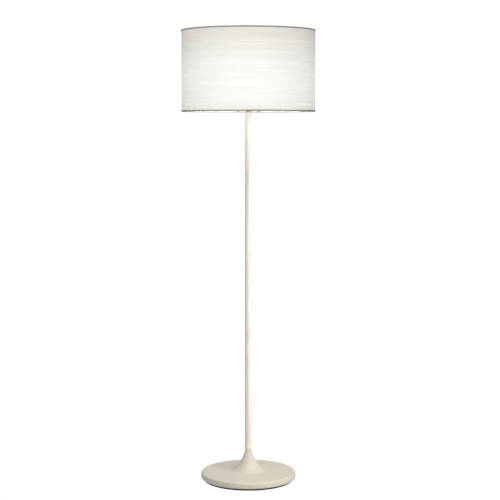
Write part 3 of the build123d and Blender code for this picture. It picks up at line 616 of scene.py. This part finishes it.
def stand(bm, origin, facing="+Z"):
    """Puts a shape that was made about +Z at origin, with its +Z turned to face the front or the back."""
    turn = {"+Z": 0, "-Y": 90, "+Y": -90}[facing]
    matrix = Matrix.Translation(origin) @ Matrix.Rotation(radians(turn), 4, "X")
    bmesh.ops.transform(bm, matrix=matrix, verts=bm.verts)
    return bm


def piece(name, bm, *parts, on=None, finish=None, sharp=32):
    """Makes bm a piece with the body and finish of its first CAD part, or of the part it sits on.

    It stands for the CAD parts named. A piece that only adds detail names none, and says what it sits on.
    """
    host = on or parts[0]
    bmesh.ops.recalc_face_normals(bm, faces=bm.faces)
    for face in bm.faces:
        face.smooth = True
    for edge in bm.edges:
        edge.smooth = edge.calc_face_angle(0) < radians(sharp)
    mesh = bpy.data.meshes.new(name)
    bm.to_mesh(mesh)
    bm.free()
    slot = finish or slot_of[host]
    mesh.materials.append(finishes[slot])
    made = bpy.data.objects.new(name, mesh)
    bpy.context.collection.objects.link(made)
    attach(made, body_of[host])
    if parts:
        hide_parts(*parts)
    print(f"{name}: {len(mesh.polygons)} faces")
    return made


def bored(made, centre, radius, length, facing):
    """Cuts a round hole through a piece."""
    tool_bm = bmesh.new()
    bmesh.ops.create_cone(
        tool_bm, cap_ends=True, segments=40, radius1=radius, radius2=radius, depth=length
    )
    stand(tool_bm, centre, facing)
    tool_mesh = bpy.data.meshes.new("drill")
    tool_bm.to_mesh(tool_mesh)
    tool_bm.free()
    drill = bpy.data.objects.new("drill", tool_mesh)
    bpy.context.collection.objects.link(drill)
    cut = made.modifiers.new("hole", "BOOLEAN")
    cut.operation = "DIFFERENCE"
    cut.solver = "EXACT"
    cut.object = drill
    bpy.context.view_layer.update()
    shaped = bpy.data.meshes.new_from_object(made.evaluated_get(bpy.context.evaluated_depsgraph_get()))
    made.modifiers.clear()
    made.data = shaped
    bpy.data.objects.remove(drill)


# %% [markdown]
# ## The trumpet base
#
# The shell is one spun sheet of steel. Its outline holds straight down the neck, swings out through a long flare
# and runs almost level over the deck, then rolls round the rim and under. A Bezier curve gives the flare, since
# its two handles say how long each end keeps its direction, and plain arcs give the rim.

# %% Spin the base shell
SHELL_WALL = 1.5 * MM
RIM_ROUNDING = 6.0 * MM
DECK_HEIGHT = 28.0 * MM
DECK_SLOPE = 1.6
FLARE_RADIUS = 66.0 * MM
LIP_WIDTH = 2.0 * MM


def shell_face(inset):
    """One face of the shell, from the top of the neck to the rolled lip."""
    rim_x = base_radius - RIM_ROUNDING
    corner = RIM_ROUNDING - inset
    upper = arc((rim_x, DECK_HEIGHT - RIM_ROUNDING), corner, 90 - DECK_SLOPE, 0, steps=8)
    lower = arc((rim_x, base_bottom + RIM_ROUNDING), corner, 0, -90, steps=8)
    slope = Vector((cos(radians(DECK_SLOPE)), -sin(radians(DECK_SLOPE)), 0))
    deck_end = Vector((*upper[0], 0))
    deck_start = deck_end - slope * (rim_x - FLARE_RADIUS)
    neck = Vector((pole_radius - inset, neck_top - 5 * MM, 0))
    flare = interpolate_bezier(neck, neck - Vector((0, 5 * MM, 0)), deck_start - slope * 34 * MM, deck_start, 36)
    deck = [deck_start.lerp(deck_end, n / 10) for n in range(1, 10)]
    lip = [(rim_x - LIP_WIDTH, base_bottom + inset)]
    return [(pole_radius - inset, neck_top)] + [(p.x, p.y) for p in flare + deck] + upper + lower + lip


shell_outline = shell_face(0) + shell_face(SHELL_WALL)[::-1]
base_shell = piece("base_shell_spun", turned(shell_outline, steps=180), "base_shell")
bush_low, bush_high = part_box("lead_bush")
bush_z = (bush_low[2] + bush_high[2]) / 2
bored(base_shell, (0, base_radius, bush_z), 5.05 * MM, 12 * MM, "+Y")

# %% [markdown]
# ## What the base stands on
#
# A die-cut foam ring keeps the steel plate off the floor: from the side it is the thin black line under the rim.
# The foam bulges a little where the lamp's weight presses it, so its outer wall is a shallow arc. The plate has
# a pressed bead that stiffens it, and three cross-head screws hold it to the weight.

# %% Foam ring, plate and screws
foot_radius, _, foot_top = extent("foot_ring")
FOOT_INNER = 130.0 * MM
FOAM_BULGE = 0.5 * MM
bulge = [(FOAM_BULGE - FOAM_BULGE * sin(pi * n / 6), foot_top * n / 6) for n in range(7)]
foam_wall = [(foot_radius - x, z) for x, z in bulge]
foam_inner = [(FOOT_INNER + x, z) for x, z in bulge[::-1]]
piece("foot_ring_foam", turned(foam_wall + foam_inner, steps=180, soften=0.3 * MM), "foot_ring", sharp=50)

plate_radius, plate_bottom, plate_top = extent("base_plate")
BEAD_RADIUS = 118.0 * MM
bead_profile = ((4 * MM, 0), (2 * MM, 0.6 * MM), (-2 * MM, 0.6 * MM), (-4 * MM, 0))
plate_outline = [(0, plate_bottom)] + [(BEAD_RADIUS - x, plate_bottom + z) for x, z in bead_profile]
plate_outline += [(plate_radius, plate_bottom), (plate_radius, plate_top), (0, plate_top)]
piece("base_plate_pressed", turned(plate_outline, closed=False, steps=144, soften=0.35 * MM), "base_plate")

SCREW_CIRCLE = 100.0 * MM
HEAD_RADIUS = 4 * MM
SHANK_RADIUS = 2 * MM
RECESS_REACH = 2.4 * MM
RECESS_HALF_WIDTH = 0.55 * MM
RECESS_DEPTH = 0.9 * MM
screw_low, screw_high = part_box("plate_screws")


def cross_head_screw():
    """A pan-head screw seen from below: domed head, cross recess, plain shank."""
    head_height = plate_bottom - screw_low[2]
    tip = screw_high[2] - screw_low[2]
    slants = [radians(slant) for slant in range(15, 91, 15)]
    dome = [(HEAD_RADIUS * sin(slant), head_height * (1 - cos(slant))) for slant in slants]
    outline = [(0, 0)] + dome + [(SHANK_RADIUS, head_height), (SHANK_RADIUS, tip), (0, tip)]
    bm = turned(outline, closed=False, steps=32)
    recess = [
        v for v in bm.verts
        if v.co.z < 0.6 * MM and hypot(v.co.x, v.co.y) < RECESS_REACH
        and min(abs(v.co.x), abs(v.co.y)) < RECESS_HALF_WIDTH
    ]
    bmesh.ops.translate(bm, vec=(0, 0, RECESS_DEPTH), verts=recess)
    return bm


screws_bm = bmesh.new()
for bearing in (30, 150, 270):
    screw_bm = cross_head_screw()
    bmesh.ops.translate(
        screw_bm, verts=screw_bm.verts,
        vec=(SCREW_CIRCLE * cos(radians(bearing)), SCREW_CIRCLE * sin(radians(bearing)), screw_low[2]),
    )
    join(screws_bm, screw_bm)
piece("plate_screws_cross_head", screws_bm, "plate_screws")

# %% [markdown]
# ## The lead bush
#
# A snap bush lines the hole where the supply lead enters: a flange outside, a groove that grips the sheet and a
# flared barb inside. It is turned like the rest, then laid on its side to face the back.

# %% Turn the bush
bush_length = bush_high[1] - bush_low[1]
flange = (bush_high[0] - bush_low[0]) / 2
BUSH_BORE = 3.6 * MM
bush_outline = from_corner(0, 0, (4.1, 0), (5.0, 0), (5.8, 0.9), (5.8, 3.6), (5.0, 3.8))
bush_outline += from_corner(0, bush_length, (5.0, -1.95))
bush_outline += from_corner(flange, bush_length, (0, -1.95), (0, -1.0), (-0.9, 0))
bush_outline += from_corner(BUSH_BORE, bush_length, (0.6, 0), (0, -0.6)) + [(BUSH_BORE, 0.5 * MM)]
bush_bm = turned(bush_outline, steps=48, soften=0.12 * MM)
flute(bush_bm, 24, 0.18 * MM, bush_length - 1.9 * MM, bush_length - 0.8 * MM, flange - 0.4 * MM)
piece("lead_bush_moulded", stand(bush_bm, (0, bush_low[1], bush_z), "+Y"), "lead_bush")

# %% [markdown]
# ## The pole
#
# Three tubes screw together end to end. Each end is chamfered a quarter of a millimetre, so that a joint shows
# only as a hairline ring when it is looked for. The cap on top is domed to shed the light.

# %% Pole tubes and cap
TUBE_WALL = 1.2 * MM
for section in ("lower_pole", "middle_pole", "upper_pole"):
    radius, bottom, top = extent(section)
    tube = turned(tube_outline(radius - TUBE_WALL, radius, bottom, top), steps=72, soften=0.25 * MM, segments=1)
    piece(section + "_tube", tube, section)

cap_radius, cap_bottom, cap_top = extent("pole_cap")
CAP_BORE = 5.05 * MM
cap_dome = arc((cap_radius - 2.5 * MM, cap_top - 2.5 * MM), 2.5 * MM, 0, 90)
cap_outline = [(CAP_BORE, cap_bottom), (cap_radius - 0.3 * MM, cap_bottom), (cap_radius, cap_bottom + 0.3 * MM)]
piece("pole_cap_domed", turned(cap_outline + cap_dome + [(CAP_BORE, cap_top)], steps=72), "pole_cap")

# %% [markdown]
# ## Socket and switch
#
# The socket is two thin pressings, a cap and a shell, with rolled beads that stiffen them. Outline steps of under
# a millimetre are enough: at this size the beads read as bright rings. The knob on the side is a ribbed
# moulding on a bare steel shaft.

# %% Press the socket's cap and shell
cap_rim, cap_foot, _ = extent("socket_cap")
cap_points = [(CAP_BORE, cap_foot)] + from_corner(0, cap_foot, (8.5, 0), (8.5, 5.2))
cap_points += from_corner(cap_rim, cap_foot, (-1.6, 10.8), (-0.5, 12.6), (-0.5, 16.0), (0, 16.6), (0, 18.4))
cap_points += from_corner(cap_rim, cap_foot, (-0.5, 19.0), (-0.5, 21.4), (0, 22.0), (0, 22.4))
cap_points += from_corner(cap_rim, cap_foot, (-0.8, 22.4), (-0.8, 13.2))
cap_points += from_corner(0, cap_foot, (8.7, 7.0)) + [(CAP_BORE, cap_foot + 7.0 * MM)]
socket_cap = piece("socket_cap_pressed", turned(cap_points, steps=80, soften=0.25 * MM), "socket_cap")
screw_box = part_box("socket_set_screw")
set_screw_z = (screw_box[0][2] + screw_box[1][2]) / 2
bored(socket_cap, (0, 7 * MM, set_screw_z), 1.55 * MM, 5 * MM, "+Y")

shell_radius, shell_bottom, shell_top = extent("socket_shell")
MOUTH_RADIUS = 15.4 * MM
SHELL_SHEET = 0.65 * MM
inner = shell_radius - SHELL_SHEET
beads = ((0, -17), (-0.35, -16), (0, -15), (0, -14), (0, -11), (0, -8), (0, -5), (-0.35, -4), (0, -3))
shell_points = [(inner, shell_bottom), (shell_radius, shell_bottom)] + from_corner(shell_radius, shell_top, *beads)
shell_points += arc((shell_radius - 0.8 * MM, shell_top - 0.8 * MM), 0.8 * MM, 0, 90, steps=4)
shell_points += [(MOUTH_RADIUS, shell_top), (MOUTH_RADIUS, shell_top - 0.8 * MM), (inner, shell_top - 0.8 * MM)]
shell_bm = turned(shell_points, steps=192)
flute(shell_bm, 48, 0.25 * MM, shell_top - 13.5 * MM, shell_top - 5.5 * MM, shell_radius - 0.1 * MM)
socket_shell = piece("socket_shell_pressed", shell_bm, "socket_shell")
shaft_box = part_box("switch_shaft")
shaft_z = (shaft_box[0][2] + shaft_box[1][2]) / 2
bored(socket_shell, (0, -shell_radius, shaft_z), 3.2 * MM, 6 * MM, "-Y")

# %% Mould the knob and turn its shaft
knob_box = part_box("switch_knob")
knob_radius = (knob_box[1][0] - knob_box[0][0]) / 2
knob_length = knob_box[1][1] - knob_box[0][1]
knob_outline = [(2.05 * MM, 0), (knob_radius, 0), (knob_radius - 0.55 * MM, knob_length - 1.2 * MM)]
knob_outline += arc((knob_radius - 1.8 * MM, knob_length - 1.25 * MM), 1.25 * MM, 0, 90, steps=5)
knob_outline += from_corner(0, knob_length, (3.2, 0), (2.8, -0.5), (0, -0.5), (0, -5.2), (2.05, -5.2))
knob_bm = turned(knob_outline, steps=192, soften=0.2 * MM)
flute(knob_bm, 16, 0.7 * MM, 0, knob_length - 0.6 * MM, knob_radius - 1.2 * MM)
piece("switch_knob_ribbed", stand(knob_bm, (0, knob_box[1][1], shaft_z), "-Y"), "switch_knob", sharp=45)

shaft_length = shaft_box[1][1] - shaft_box[0][1]
shaft_radius = (shaft_box[1][0] - shaft_box[0][0]) / 2
shaft_outline = [(0, 0), (shaft_radius, 0), (shaft_radius, shaft_length), (0, shaft_length)]
shaft_bm = turned(shaft_outline, closed=False, steps=32, soften=0.3 * MM)
piece("switch_shaft_turned", stand(shaft_bm, (0, shaft_box[1][1], shaft_z), "-Y"), "switch_shaft")

# %% [markdown]
# ## The harp
#
# A harp is one bent wire that carries the shade clear of the bulb. Its feet drop beside the saddle's ears, and a
# sleeve slides down over each pair to lock it. The sleeves are drawn from thin tube with both rims rolled
# outwards, and a band of fine knurling for the fingers. The threaded post is turned, with a collar the shade's
# hub sits on.

# %% Sleeves and the harp's post
for side in ("left", "right"):
    node = f"harp_sleeve_{side}"
    low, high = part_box(node)
    centre_x = (low[0] + high[0]) / 2
    outer = (high[0] - low[0]) / 2
    length = high[2] - low[2]
    grip = [(-0.4, 4.0 + 1.4 * n) for n in range(6)]
    sleeve_outline = from_corner(outer, 0, (-0.8, 0), (-0.2, 0), (0, 0.5), (0, 1.1), (-0.4, 1.6), *grip)
    sleeve_outline += from_corner(outer, length, (-0.4, -1.6), (0, -1.1), (0, -0.5), (-0.2, 0), (-0.8, 0))
    sleeve_outline += from_corner(outer, length, (-1.0, -0.3)) + from_corner(outer, 0, (-1.0, 0.3))
    sleeve_bm = turned(sleeve_outline, steps=96)
    flute(sleeve_bm, 32, 0.16 * MM, 4.1 * MM, 10.9 * MM, outer - 0.5 * MM)
    piece(node + "_rolled", stand(sleeve_bm, (centre_x, 0, low[2])), node)

post_radius, post_bottom, post_top = extent("harp_top")
STUD_RADIUS = 3.15 * MM
seat_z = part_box("spider_hub")[0][2] - 0.3 * MM
thread_count = 9
thread_pitch = (post_top - seat_z - 1.0 * MM) / thread_count
post_outline = from_corner(0, post_bottom, (0, 0), (5.6, 0), (6.5, 0.9))
post_outline += from_corner(0, seat_z, (6.5, -3.6), (5.6, -3.1), (5.6, -2.6), (9.6, -2.2))
post_outline += from_corner(post_radius, seat_z, (0, -1.8), (0, -0.3), (-0.3, 0)) + [(STUD_RADIUS, seat_z)]
for turn in range(thread_count):
    ridge = seat_z + 0.4 * MM + turn * thread_pitch
    post_outline += [(STUD_RADIUS - 0.35 * MM, ridge), (STUD_RADIUS, ridge + thread_pitch / 2)]
post_outline += [(STUD_RADIUS - 0.6 * MM, post_top), (0, post_top)]
piece("harp_post_turned", turned(post_outline, closed=False, steps=64, soften=0.08 * MM, segments=1), "harp_top")

# %% [markdown]
# ## The bulb
#
# A screw bulb has a rolled thread, and a rolled thread is a helix. `spin` takes a shift for each step, so an
# outline one thread high, spun through four turns while it climbs, winds the whole thread at once. The glass is
# a thin shell with the classic pear shoulder.

# %% Blow the globe
THREAD_PITCH = 3.629 * MM
GLASS = 0.8 * MM
cap_low, cap_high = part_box("bulb_cap")
bulb_cap_radius = (cap_high[0] - cap_low[0]) / 2
glass_neck = bulb_cap_radius - 0.45 * MM


def globe_outline(inset):
    """Half outline of the glass, from its foot inside the cap to its crown."""
    start = Vector((glass_neck - inset, cap_high[2] + 1 * MM, 0))
    end = Vector((globe_radius - inset, bulb_z, 0))
    shoulder = interpolate_bezier(start, start + Vector((0, 15 * MM, 0)), end - Vector((0, 19 * MM, 0)), end, 24)
    crown = arc((0, bulb_z), globe_radius - inset, 0, 90, steps=14)[1:]
    return [(glass_neck - inset, globe_foot)] + [(p.x, p.y) for p in shoulder] + crown[:-1] + [(0, crown[-1][1])]


globe_points = globe_outline(0) + globe_outline(GLASS)[::-1]
piece("bulb_globe_blown", turned(globe_points, steps=96), "bulb_globe")

# %% Roll the bulb's thread


def rolled_thread(radius, depth, bottom, turns, steps=56):
    """An open helical thread: a one-pitch outline, spun as it climbs."""
    bm = bmesh.new()
    verts = []
    for n in range(9):
        crest = radius - depth * (0.5 + 0.5 * cos(2 * pi * n / 8))
        verts.append(bm.verts.new((crest, 0, bottom + THREAD_PITCH * n / 8)))
    edges = [bm.edges.new(pair) for pair in zip(verts, verts[1:])]
    bmesh.ops.spin(
        bm, geom=verts + edges, cent=(0, 0, 0), axis=(0, 0, 1), dvec=(0, 0, THREAD_PITCH / steps),
        angle=2 * pi * turns, steps=steps * turns, use_merge=False,
    )
    bmesh.ops.remove_doubles(bm, verts=bm.verts, dist=1e-6)
    return bm


THREAD_TURNS = 4
cap_sheet = 0.4 * MM
thread_bottom = cap_low[2] + 3.0 * MM
thread_top = thread_bottom + THREAD_PITCH * (THREAD_TURNS + 1)
thread_bm = rolled_thread(bulb_cap_radius, 0.9 * MM, thread_bottom, THREAD_TURNS)
plain = bulb_cap_radius - 0.85 * MM
collar = [
    (plain - 0.5 * MM, thread_top - THREAD_PITCH), (plain, thread_top - THREAD_PITCH), (plain, thread_top),
    (bulb_cap_radius, thread_top + 0.6 * MM), (bulb_cap_radius, cap_high[2] - 0.5 * MM),
    (bulb_cap_radius - 0.25 * MM, cap_high[2]), (bulb_cap_radius - cap_sheet - 0.1 * MM, cap_high[2]),
    (plain - 0.5 * MM, thread_top),
]
foot = from_corner(0, cap_low[2], (0, 0), (11.0, 0), (11.6, 0.4)) + from_corner(plain, cap_low[2], (0, 2.4))
foot += from_corner(plain, thread_bottom + THREAD_PITCH, (0, 0), (-0.5, 0))
foot += from_corner(plain, cap_low[2], (-0.5, 2.6)) + from_corner(0, cap_low[2], (10.9, 0.6), (0, 0.6))
for outline in (collar, foot):
    join(thread_bm, turned(outline, steps=56, soften=0.1 * MM))
piece("bulb_cap_threaded", thread_bm, "bulb_cap", sharp=60)

# %% Turn the bulb's insulator and tip
tip_radius, tip_bottom, tip_top = extent("bulb_tip")
tip_outline = [(0, tip_bottom)] + arc((tip_radius - 1 * MM, tip_bottom + 1 * MM), 1 * MM, -90, 0)
tip_outline += [(tip_radius, tip_top), (0, tip_top)]
piece("bulb_tip_soldered", turned(tip_outline, closed=False, steps=40), "bulb_tip")

_, glass_bottom, glass_top = extent("bulb_insulator")
glass_cone = [(tip_radius + 0.06 * MM, glass_bottom + 0.1 * MM)]
glass_cone += arc((tip_radius + 0.9 * MM, glass_bottom + 0.7 * MM), 0.7 * MM, -150, -60, steps=5)
glass_cone += [(8.0 * MM, glass_bottom + 0.7 * MM), (10.6 * MM, glass_bottom + 2.4 * MM), (11.15 * MM, glass_top)]
glass_cone += [(0, glass_top), (0, tip_top + 0.06 * MM), (tip_radius + 0.06 * MM, tip_top + 0.06 * MM)]
piece("bulb_insulator_fused", turned(glass_cone, steps=48, soften=0.1 * MM), "bulb_insulator")

# %% [markdown]
# ## The ribbed paper
#
# The paper is pressed into fine level ribs. On the real sheet no two are alike: they differ in width, and each one
# fades and swells as it goes round. So the ribs' heights are drawn from a seeded random number, an outline with
# all of them is spun once, and then a smooth noise that repeats round the drum scales each rib's depth in place.
# The sheet's ends overlap at the back in a glued seam.

# %% Rib the paper
PAPER_THICKNESS = 1.0 * MM
RIB_DEPTH = 0.6 * MM
ROWS_PER_RIB = 5
draws = random.Random(11)
rib_edges = [paper_bottom + 1.0 * MM]
while rib_edges[-1] < paper_top - 13.0 * MM:
    rib_edges.append(rib_edges[-1] + draws.uniform(4.2, 11.5) * MM)
rib_edges.append(paper_top - 1.0 * MM)
rib_strengths = [draws.uniform(0.35, 1.0) for _ in rib_edges]
valley_radius = paper_radius - RIB_DEPTH

outer_wall = [(valley_radius, paper_bottom)]
rib_of_row = {}
for rib, (start, end) in enumerate(zip(rib_edges, rib_edges[1:])):
    for n in range(ROWS_PER_RIB):
        height = start + (end - start) * n / ROWS_PER_RIB
        rib_of_row[round(height, 6)] = rib
        bulge = RIB_DEPTH * rib_strengths[rib] * sin(pi * n / ROWS_PER_RIB)
        outer_wall.append((valley_radius + bulge, height))
outer_wall += [(valley_radius, paper_top - 1.0 * MM), (valley_radius, paper_top)]
paper_height = paper_top - paper_bottom
inner_wall = [(paper_radius - PAPER_THICKNESS, paper_top - paper_height * n / 12) for n in range(13)]
paper_bm = turned(outer_wall + inner_wall, steps=288)
rib_layer = paper_bm.verts.layers.float.new("rib")
for vert in paper_bm.verts:
    radius = hypot(vert.co.x, vert.co.y)
    if radius < valley_radius - 0.1 * MM:
        continue
    rib = rib_of_row.get(round(vert.co.z, 6), 0)
    swell = noise.noise(Vector((vert.co.x * 8, vert.co.y * 8, rib * 3.7)))
    waver = noise.noise(Vector((vert.co.x * 6, vert.co.y * 6, rib * 1.3 + 50))) * 0.5 * MM
    pressed = (radius - valley_radius) * min(1.0, max(0.05, 0.6 + 1.3 * swell))
    vert.co.xy *= (valley_radius + pressed) / radius
    vert[rib_layer] = pressed / RIB_DEPTH
    if paper_bottom + 3 * MM < vert.co.z < paper_top - 3 * MM:
        vert.co.z += waver
piece("shade_paper_ribbed", paper_bm, "shade_paper", sharp=70)
print("ribs", len(rib_edges) - 1)

# %% Glue the seam at the back
SEAM_HALF_WIDTH = 7.0 * MM
seam_bm = bmesh.new()
seam_height = paper_top - paper_bottom - 9.6 * MM
bmesh.ops.create_grid(seam_bm, x_segments=6, y_segments=60, size=0.5)
bmesh.ops.scale(seam_bm, vec=(2 * SEAM_HALF_WIDTH, seam_height, 1), verts=seam_bm.verts)
bmesh.ops.rotate(seam_bm, cent=(0, 0, 0), matrix=Matrix.Rotation(radians(-90), 3, "X"), verts=seam_bm.verts)
seam_radius = paper_radius + 0.12 * MM
for vert in seam_bm.verts:
    ragged = noise.noise(Vector((vert.co.x * 40, 0, vert.co.z * 60))) * 0.5 * MM
    turn = (vert.co.x + (ragged if abs(vert.co.x) > 0.9 * SEAM_HALF_WIDTH else 0)) / seam_radius
    vert.co = (seam_radius * sin(turn), seam_radius * cos(turn), vert.co.z + (paper_bottom + paper_top) / 2)
bmesh.ops.solidify(seam_bm, geom=seam_bm.faces[:], thickness=0.35 * MM)
piece("shade_seam_glued", seam_bm, on="shade_paper", finish="ribbed_paper")

# %% [markdown]
# ## Inside and round the shade
#
# Behind the paper is a plain translucent liner. A white wire ring runs in each rim, and a narrow woven tape is
# folded over paper, liner and ring together. The tape's edge is cut a little unevenly by hand, which a small noise
# on its cut edge, away from the fold, shows.

# %% Liner, rings and tapes
liner_radius, liner_bottom, liner_top = extent("shade_liner")
LINER_THICKNESS = 0.6 * MM
liner_rows = [liner_bottom + (liner_top - liner_bottom) * n / 14 for n in range(15)]
liner_outline = [(liner_radius, z) for z in liner_rows]
liner_outline += [(liner_radius - LINER_THICKNESS, z) for z in liner_rows[::-1]]
piece("shade_liner_sheet", turned(liner_outline, steps=180), "shade_liner")

for rim in ("bottom", "top"):
    ring_outer, ring_bottom, ring_top = extent(f"shade_{rim}_ring")
    wire_radius = (ring_top - ring_bottom) / 2
    section = arc((ring_outer - wire_radius, ring_bottom + wire_radius), wire_radius, 0, 330, steps=11)
    piece(f"shade_{rim}_ring_wire", turned(section, steps=180), f"shade_{rim}_ring", sharp=60)

    tape_radius, tape_bottom, tape_top = extent(f"shade_{rim}_tape")
    up = 1 if rim == "bottom" else -1
    edge = tape_bottom if rim == "bottom" else tape_top
    fold_radius = 1.3 * MM
    tape_inner = ring_outer - 2 * wire_radius
    corner_start, corner_end = (0, -90) if rim == "bottom" else (0, 90)
    outside = from_corner(tape_radius, edge, (0, 4.5 * up), (0, 3.0 * up))
    outside += arc((tape_radius - fold_radius, edge + up * fold_radius), fold_radius, corner_start, corner_end)
    outside += from_corner(tape_inner, edge, (2.2, 0), (0, 0))
    inside = from_corner(tape_inner, edge, (0, 0.55 * up), (2.2, 0.55 * up))
    inside += from_corner(tape_radius, edge, (-1.3, 0.6 * up), (-0.6, 1.3 * up), (-0.6, 3.0 * up), (-0.6, 4.5 * up))
    tape_bm = turned(outside + inside, steps=288)
    for vert in tape_bm.verts:
        if abs(vert.co.z - edge) > 4.3 * MM:
            vert.co.z += noise.noise(Vector((vert.co.x * 60, vert.co.y * 60, edge))) * 0.45 * MM
    piece(f"shade_{rim}_tape_woven", tape_bm, f"shade_{rim}_tape", sharp=50)

# %% [markdown]
# ## The spider
#
# Three arms run from a small hub to the top ring and are resistance-welded at both ends. The hub is a stamped
# washer with a dished rim. A weld is a squashed, slightly lumpy bead, made here from a sphere that noise pushes
# about.

# %% Stamp the hub and set the welds
hub_radius, hub_bottom, hub_top = extent("spider_hub")
hub_outline = from_corner(0, hub_bottom, (3.5, 0), (6.0, 0), (7.0, 0.25))
hub_outline += from_corner(hub_radius, hub_bottom, (-1.6, 0.25), (0, 0.1))
hub_outline += from_corner(hub_radius, hub_top, (0, 0), (-1.6, 0))
hub_outline += from_corner(0, hub_top, (7.0, -0.2), (6.0, 0), (3.5, 0))
piece("spider_hub_stamped", turned(hub_outline, steps=64, soften=0.15 * MM), "spider_hub")

ring_outer, ring_bottom, ring_top = extent("shade_top_ring")
arm_z = (hub_bottom + hub_top) / 2
ring_z = (ring_bottom + ring_top) / 2
weld_spots = []
for bearing in (90, 210, 330):
    outward = Vector((cos(radians(bearing)), sin(radians(bearing)), 0))
    weld_spots.append((outward * (hub_radius + 0.6 * MM) + Vector((0, 0, arm_z)), 2.5 * MM))
    weld_spots.append((outward * (ring_outer - 2.9 * MM) + Vector((0, 0, ring_z - 0.4 * MM)), 2.4 * MM))
welds_bm = bmesh.new()
for spot, size in weld_spots:
    bead = bmesh.ops.create_icosphere(welds_bm, subdivisions=3, radius=size)["verts"]
    for vert in bead:
        lump = 1 + 0.16 * noise.noise(vert.co * 900 + spot * 50)
        vert.co = spot + Vector((vert.co.x, vert.co.y, vert.co.z * 0.8)) * lump
piece("spider_welds", welds_bm, on="spider_hub", finish="white_wire", sharp=80)

# %% [markdown]
# ## The finial
#
# The finial screws down on the hub and holds the shade. It is a low turned cap with a fluted rim for the fingers,
# enamelled like the base, over a brass insert.

# %% Turn the finial and its insert
finial_radius, finial_bottom, finial_top = extent("finial")
INSERT_BORE = 5.05 * MM
insert_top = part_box("finial_insert")[1][2]
finial_outline = from_corner(0, finial_bottom, (5.05, 0), (6.6, 0), (7.0, 0.4), (7.0, 1.8), (9.6, 2.9))
finial_outline += from_corner(finial_radius, finial_bottom, (0, 3.6), (0, 6.0))
finial_outline += arc((finial_radius - 3.4 * MM, finial_top - 3.4 * MM), 3.4 * MM, 0, 80, steps=8)
finial_outline += from_corner(0, finial_top, (4.0, -0.1), (2.6, 0), (0, 0))
finial_outline += [(0, insert_top + 0.06 * MM), (INSERT_BORE, insert_top + 0.06 * MM)]
finial_bm = turned(finial_outline, steps=144, soften=0.12 * MM)
flute(finial_bm, 18, 0.6 * MM, finial_bottom + 3.0 * MM, finial_top - 3.0 * MM, finial_radius - 1.0 * MM)
piece("finial_fluted", finial_bm, "finial", sharp=45)

# %% [markdown]
# ## Finishes for the parts that keep their CAD shape
#
# The weight, the clamping stack, the plugs, the wiring and the contacts have the right shape already. They only
# need their finish, and each takes the one its material slot names.

# %% Assign the finishes
for name, node in frame["nodes"].items():
    node.data.materials.clear()
    node.data.materials.append(finishes[slot_of[name]])
print("parts finished", len(frame["nodes"]))

# %% [markdown]
# ## The lit bulb's light
#
# The glow painted on the paper doesn't light anything, so a warm lamp inside the shade does: a soft sphere round
# the bulb that brightens the fittings and that the camera doesn't see. The studio's lights would drown the
# paper's glow, and three were made for one part each, so light linking says which pieces a light may fall on.

# %% Light the bulb and link the studio lights
bulb_lamp = bpy.data.lights.new("bulb_light", "POINT")
bulb_lamp.energy = 4.0
bulb_lamp.color = (1.0, 0.95, 0.87)
bulb_lamp.shadow_soft_size = globe_radius + 12 * MM
bulb_lamp_object = bpy.data.objects.new("bulb_light", bulb_lamp)
bulb_lamp_object.location = (0, 0, bulb_z)
bulb_lamp_object.visible_camera = False
bpy.context.collection.objects.link(bulb_lamp_object)


def link_light(light, names, state):
    """Lets a light fall only on the named pieces, or on all but those."""
    group = bpy.data.collections.new(f"{light.name}_{state.lower()}")
    for name in names:
        group.objects.link(bpy.data.objects[name])
    for entry in group.collection_objects:
        entry.light_linking.link_state = state
    light.light_linking.receiver_collection = group


paper_pieces = ["shade_paper_ribbed", "shade_seam_glued", "shade_bottom_tape_woven", "shade_top_tape_woven"]
link_light(key_light, paper_pieces, "EXCLUDE")
link_light(high_light, paper_pieces, "EXCLUDE")
link_light(shade_light, paper_pieces, "INCLUDE")
pole_pieces = ["lower_pole_tube", "middle_pole_tube", "upper_pole_tube", "pole_cap_domed"]
link_light(pole_light, pole_pieces, "INCLUDE")
link_light(mouth_light, pole_pieces, "INCLUDE")
link_light(bulb_lamp_object, paper_pieces + ["shade_liner_sheet"], "EXCLUDE")
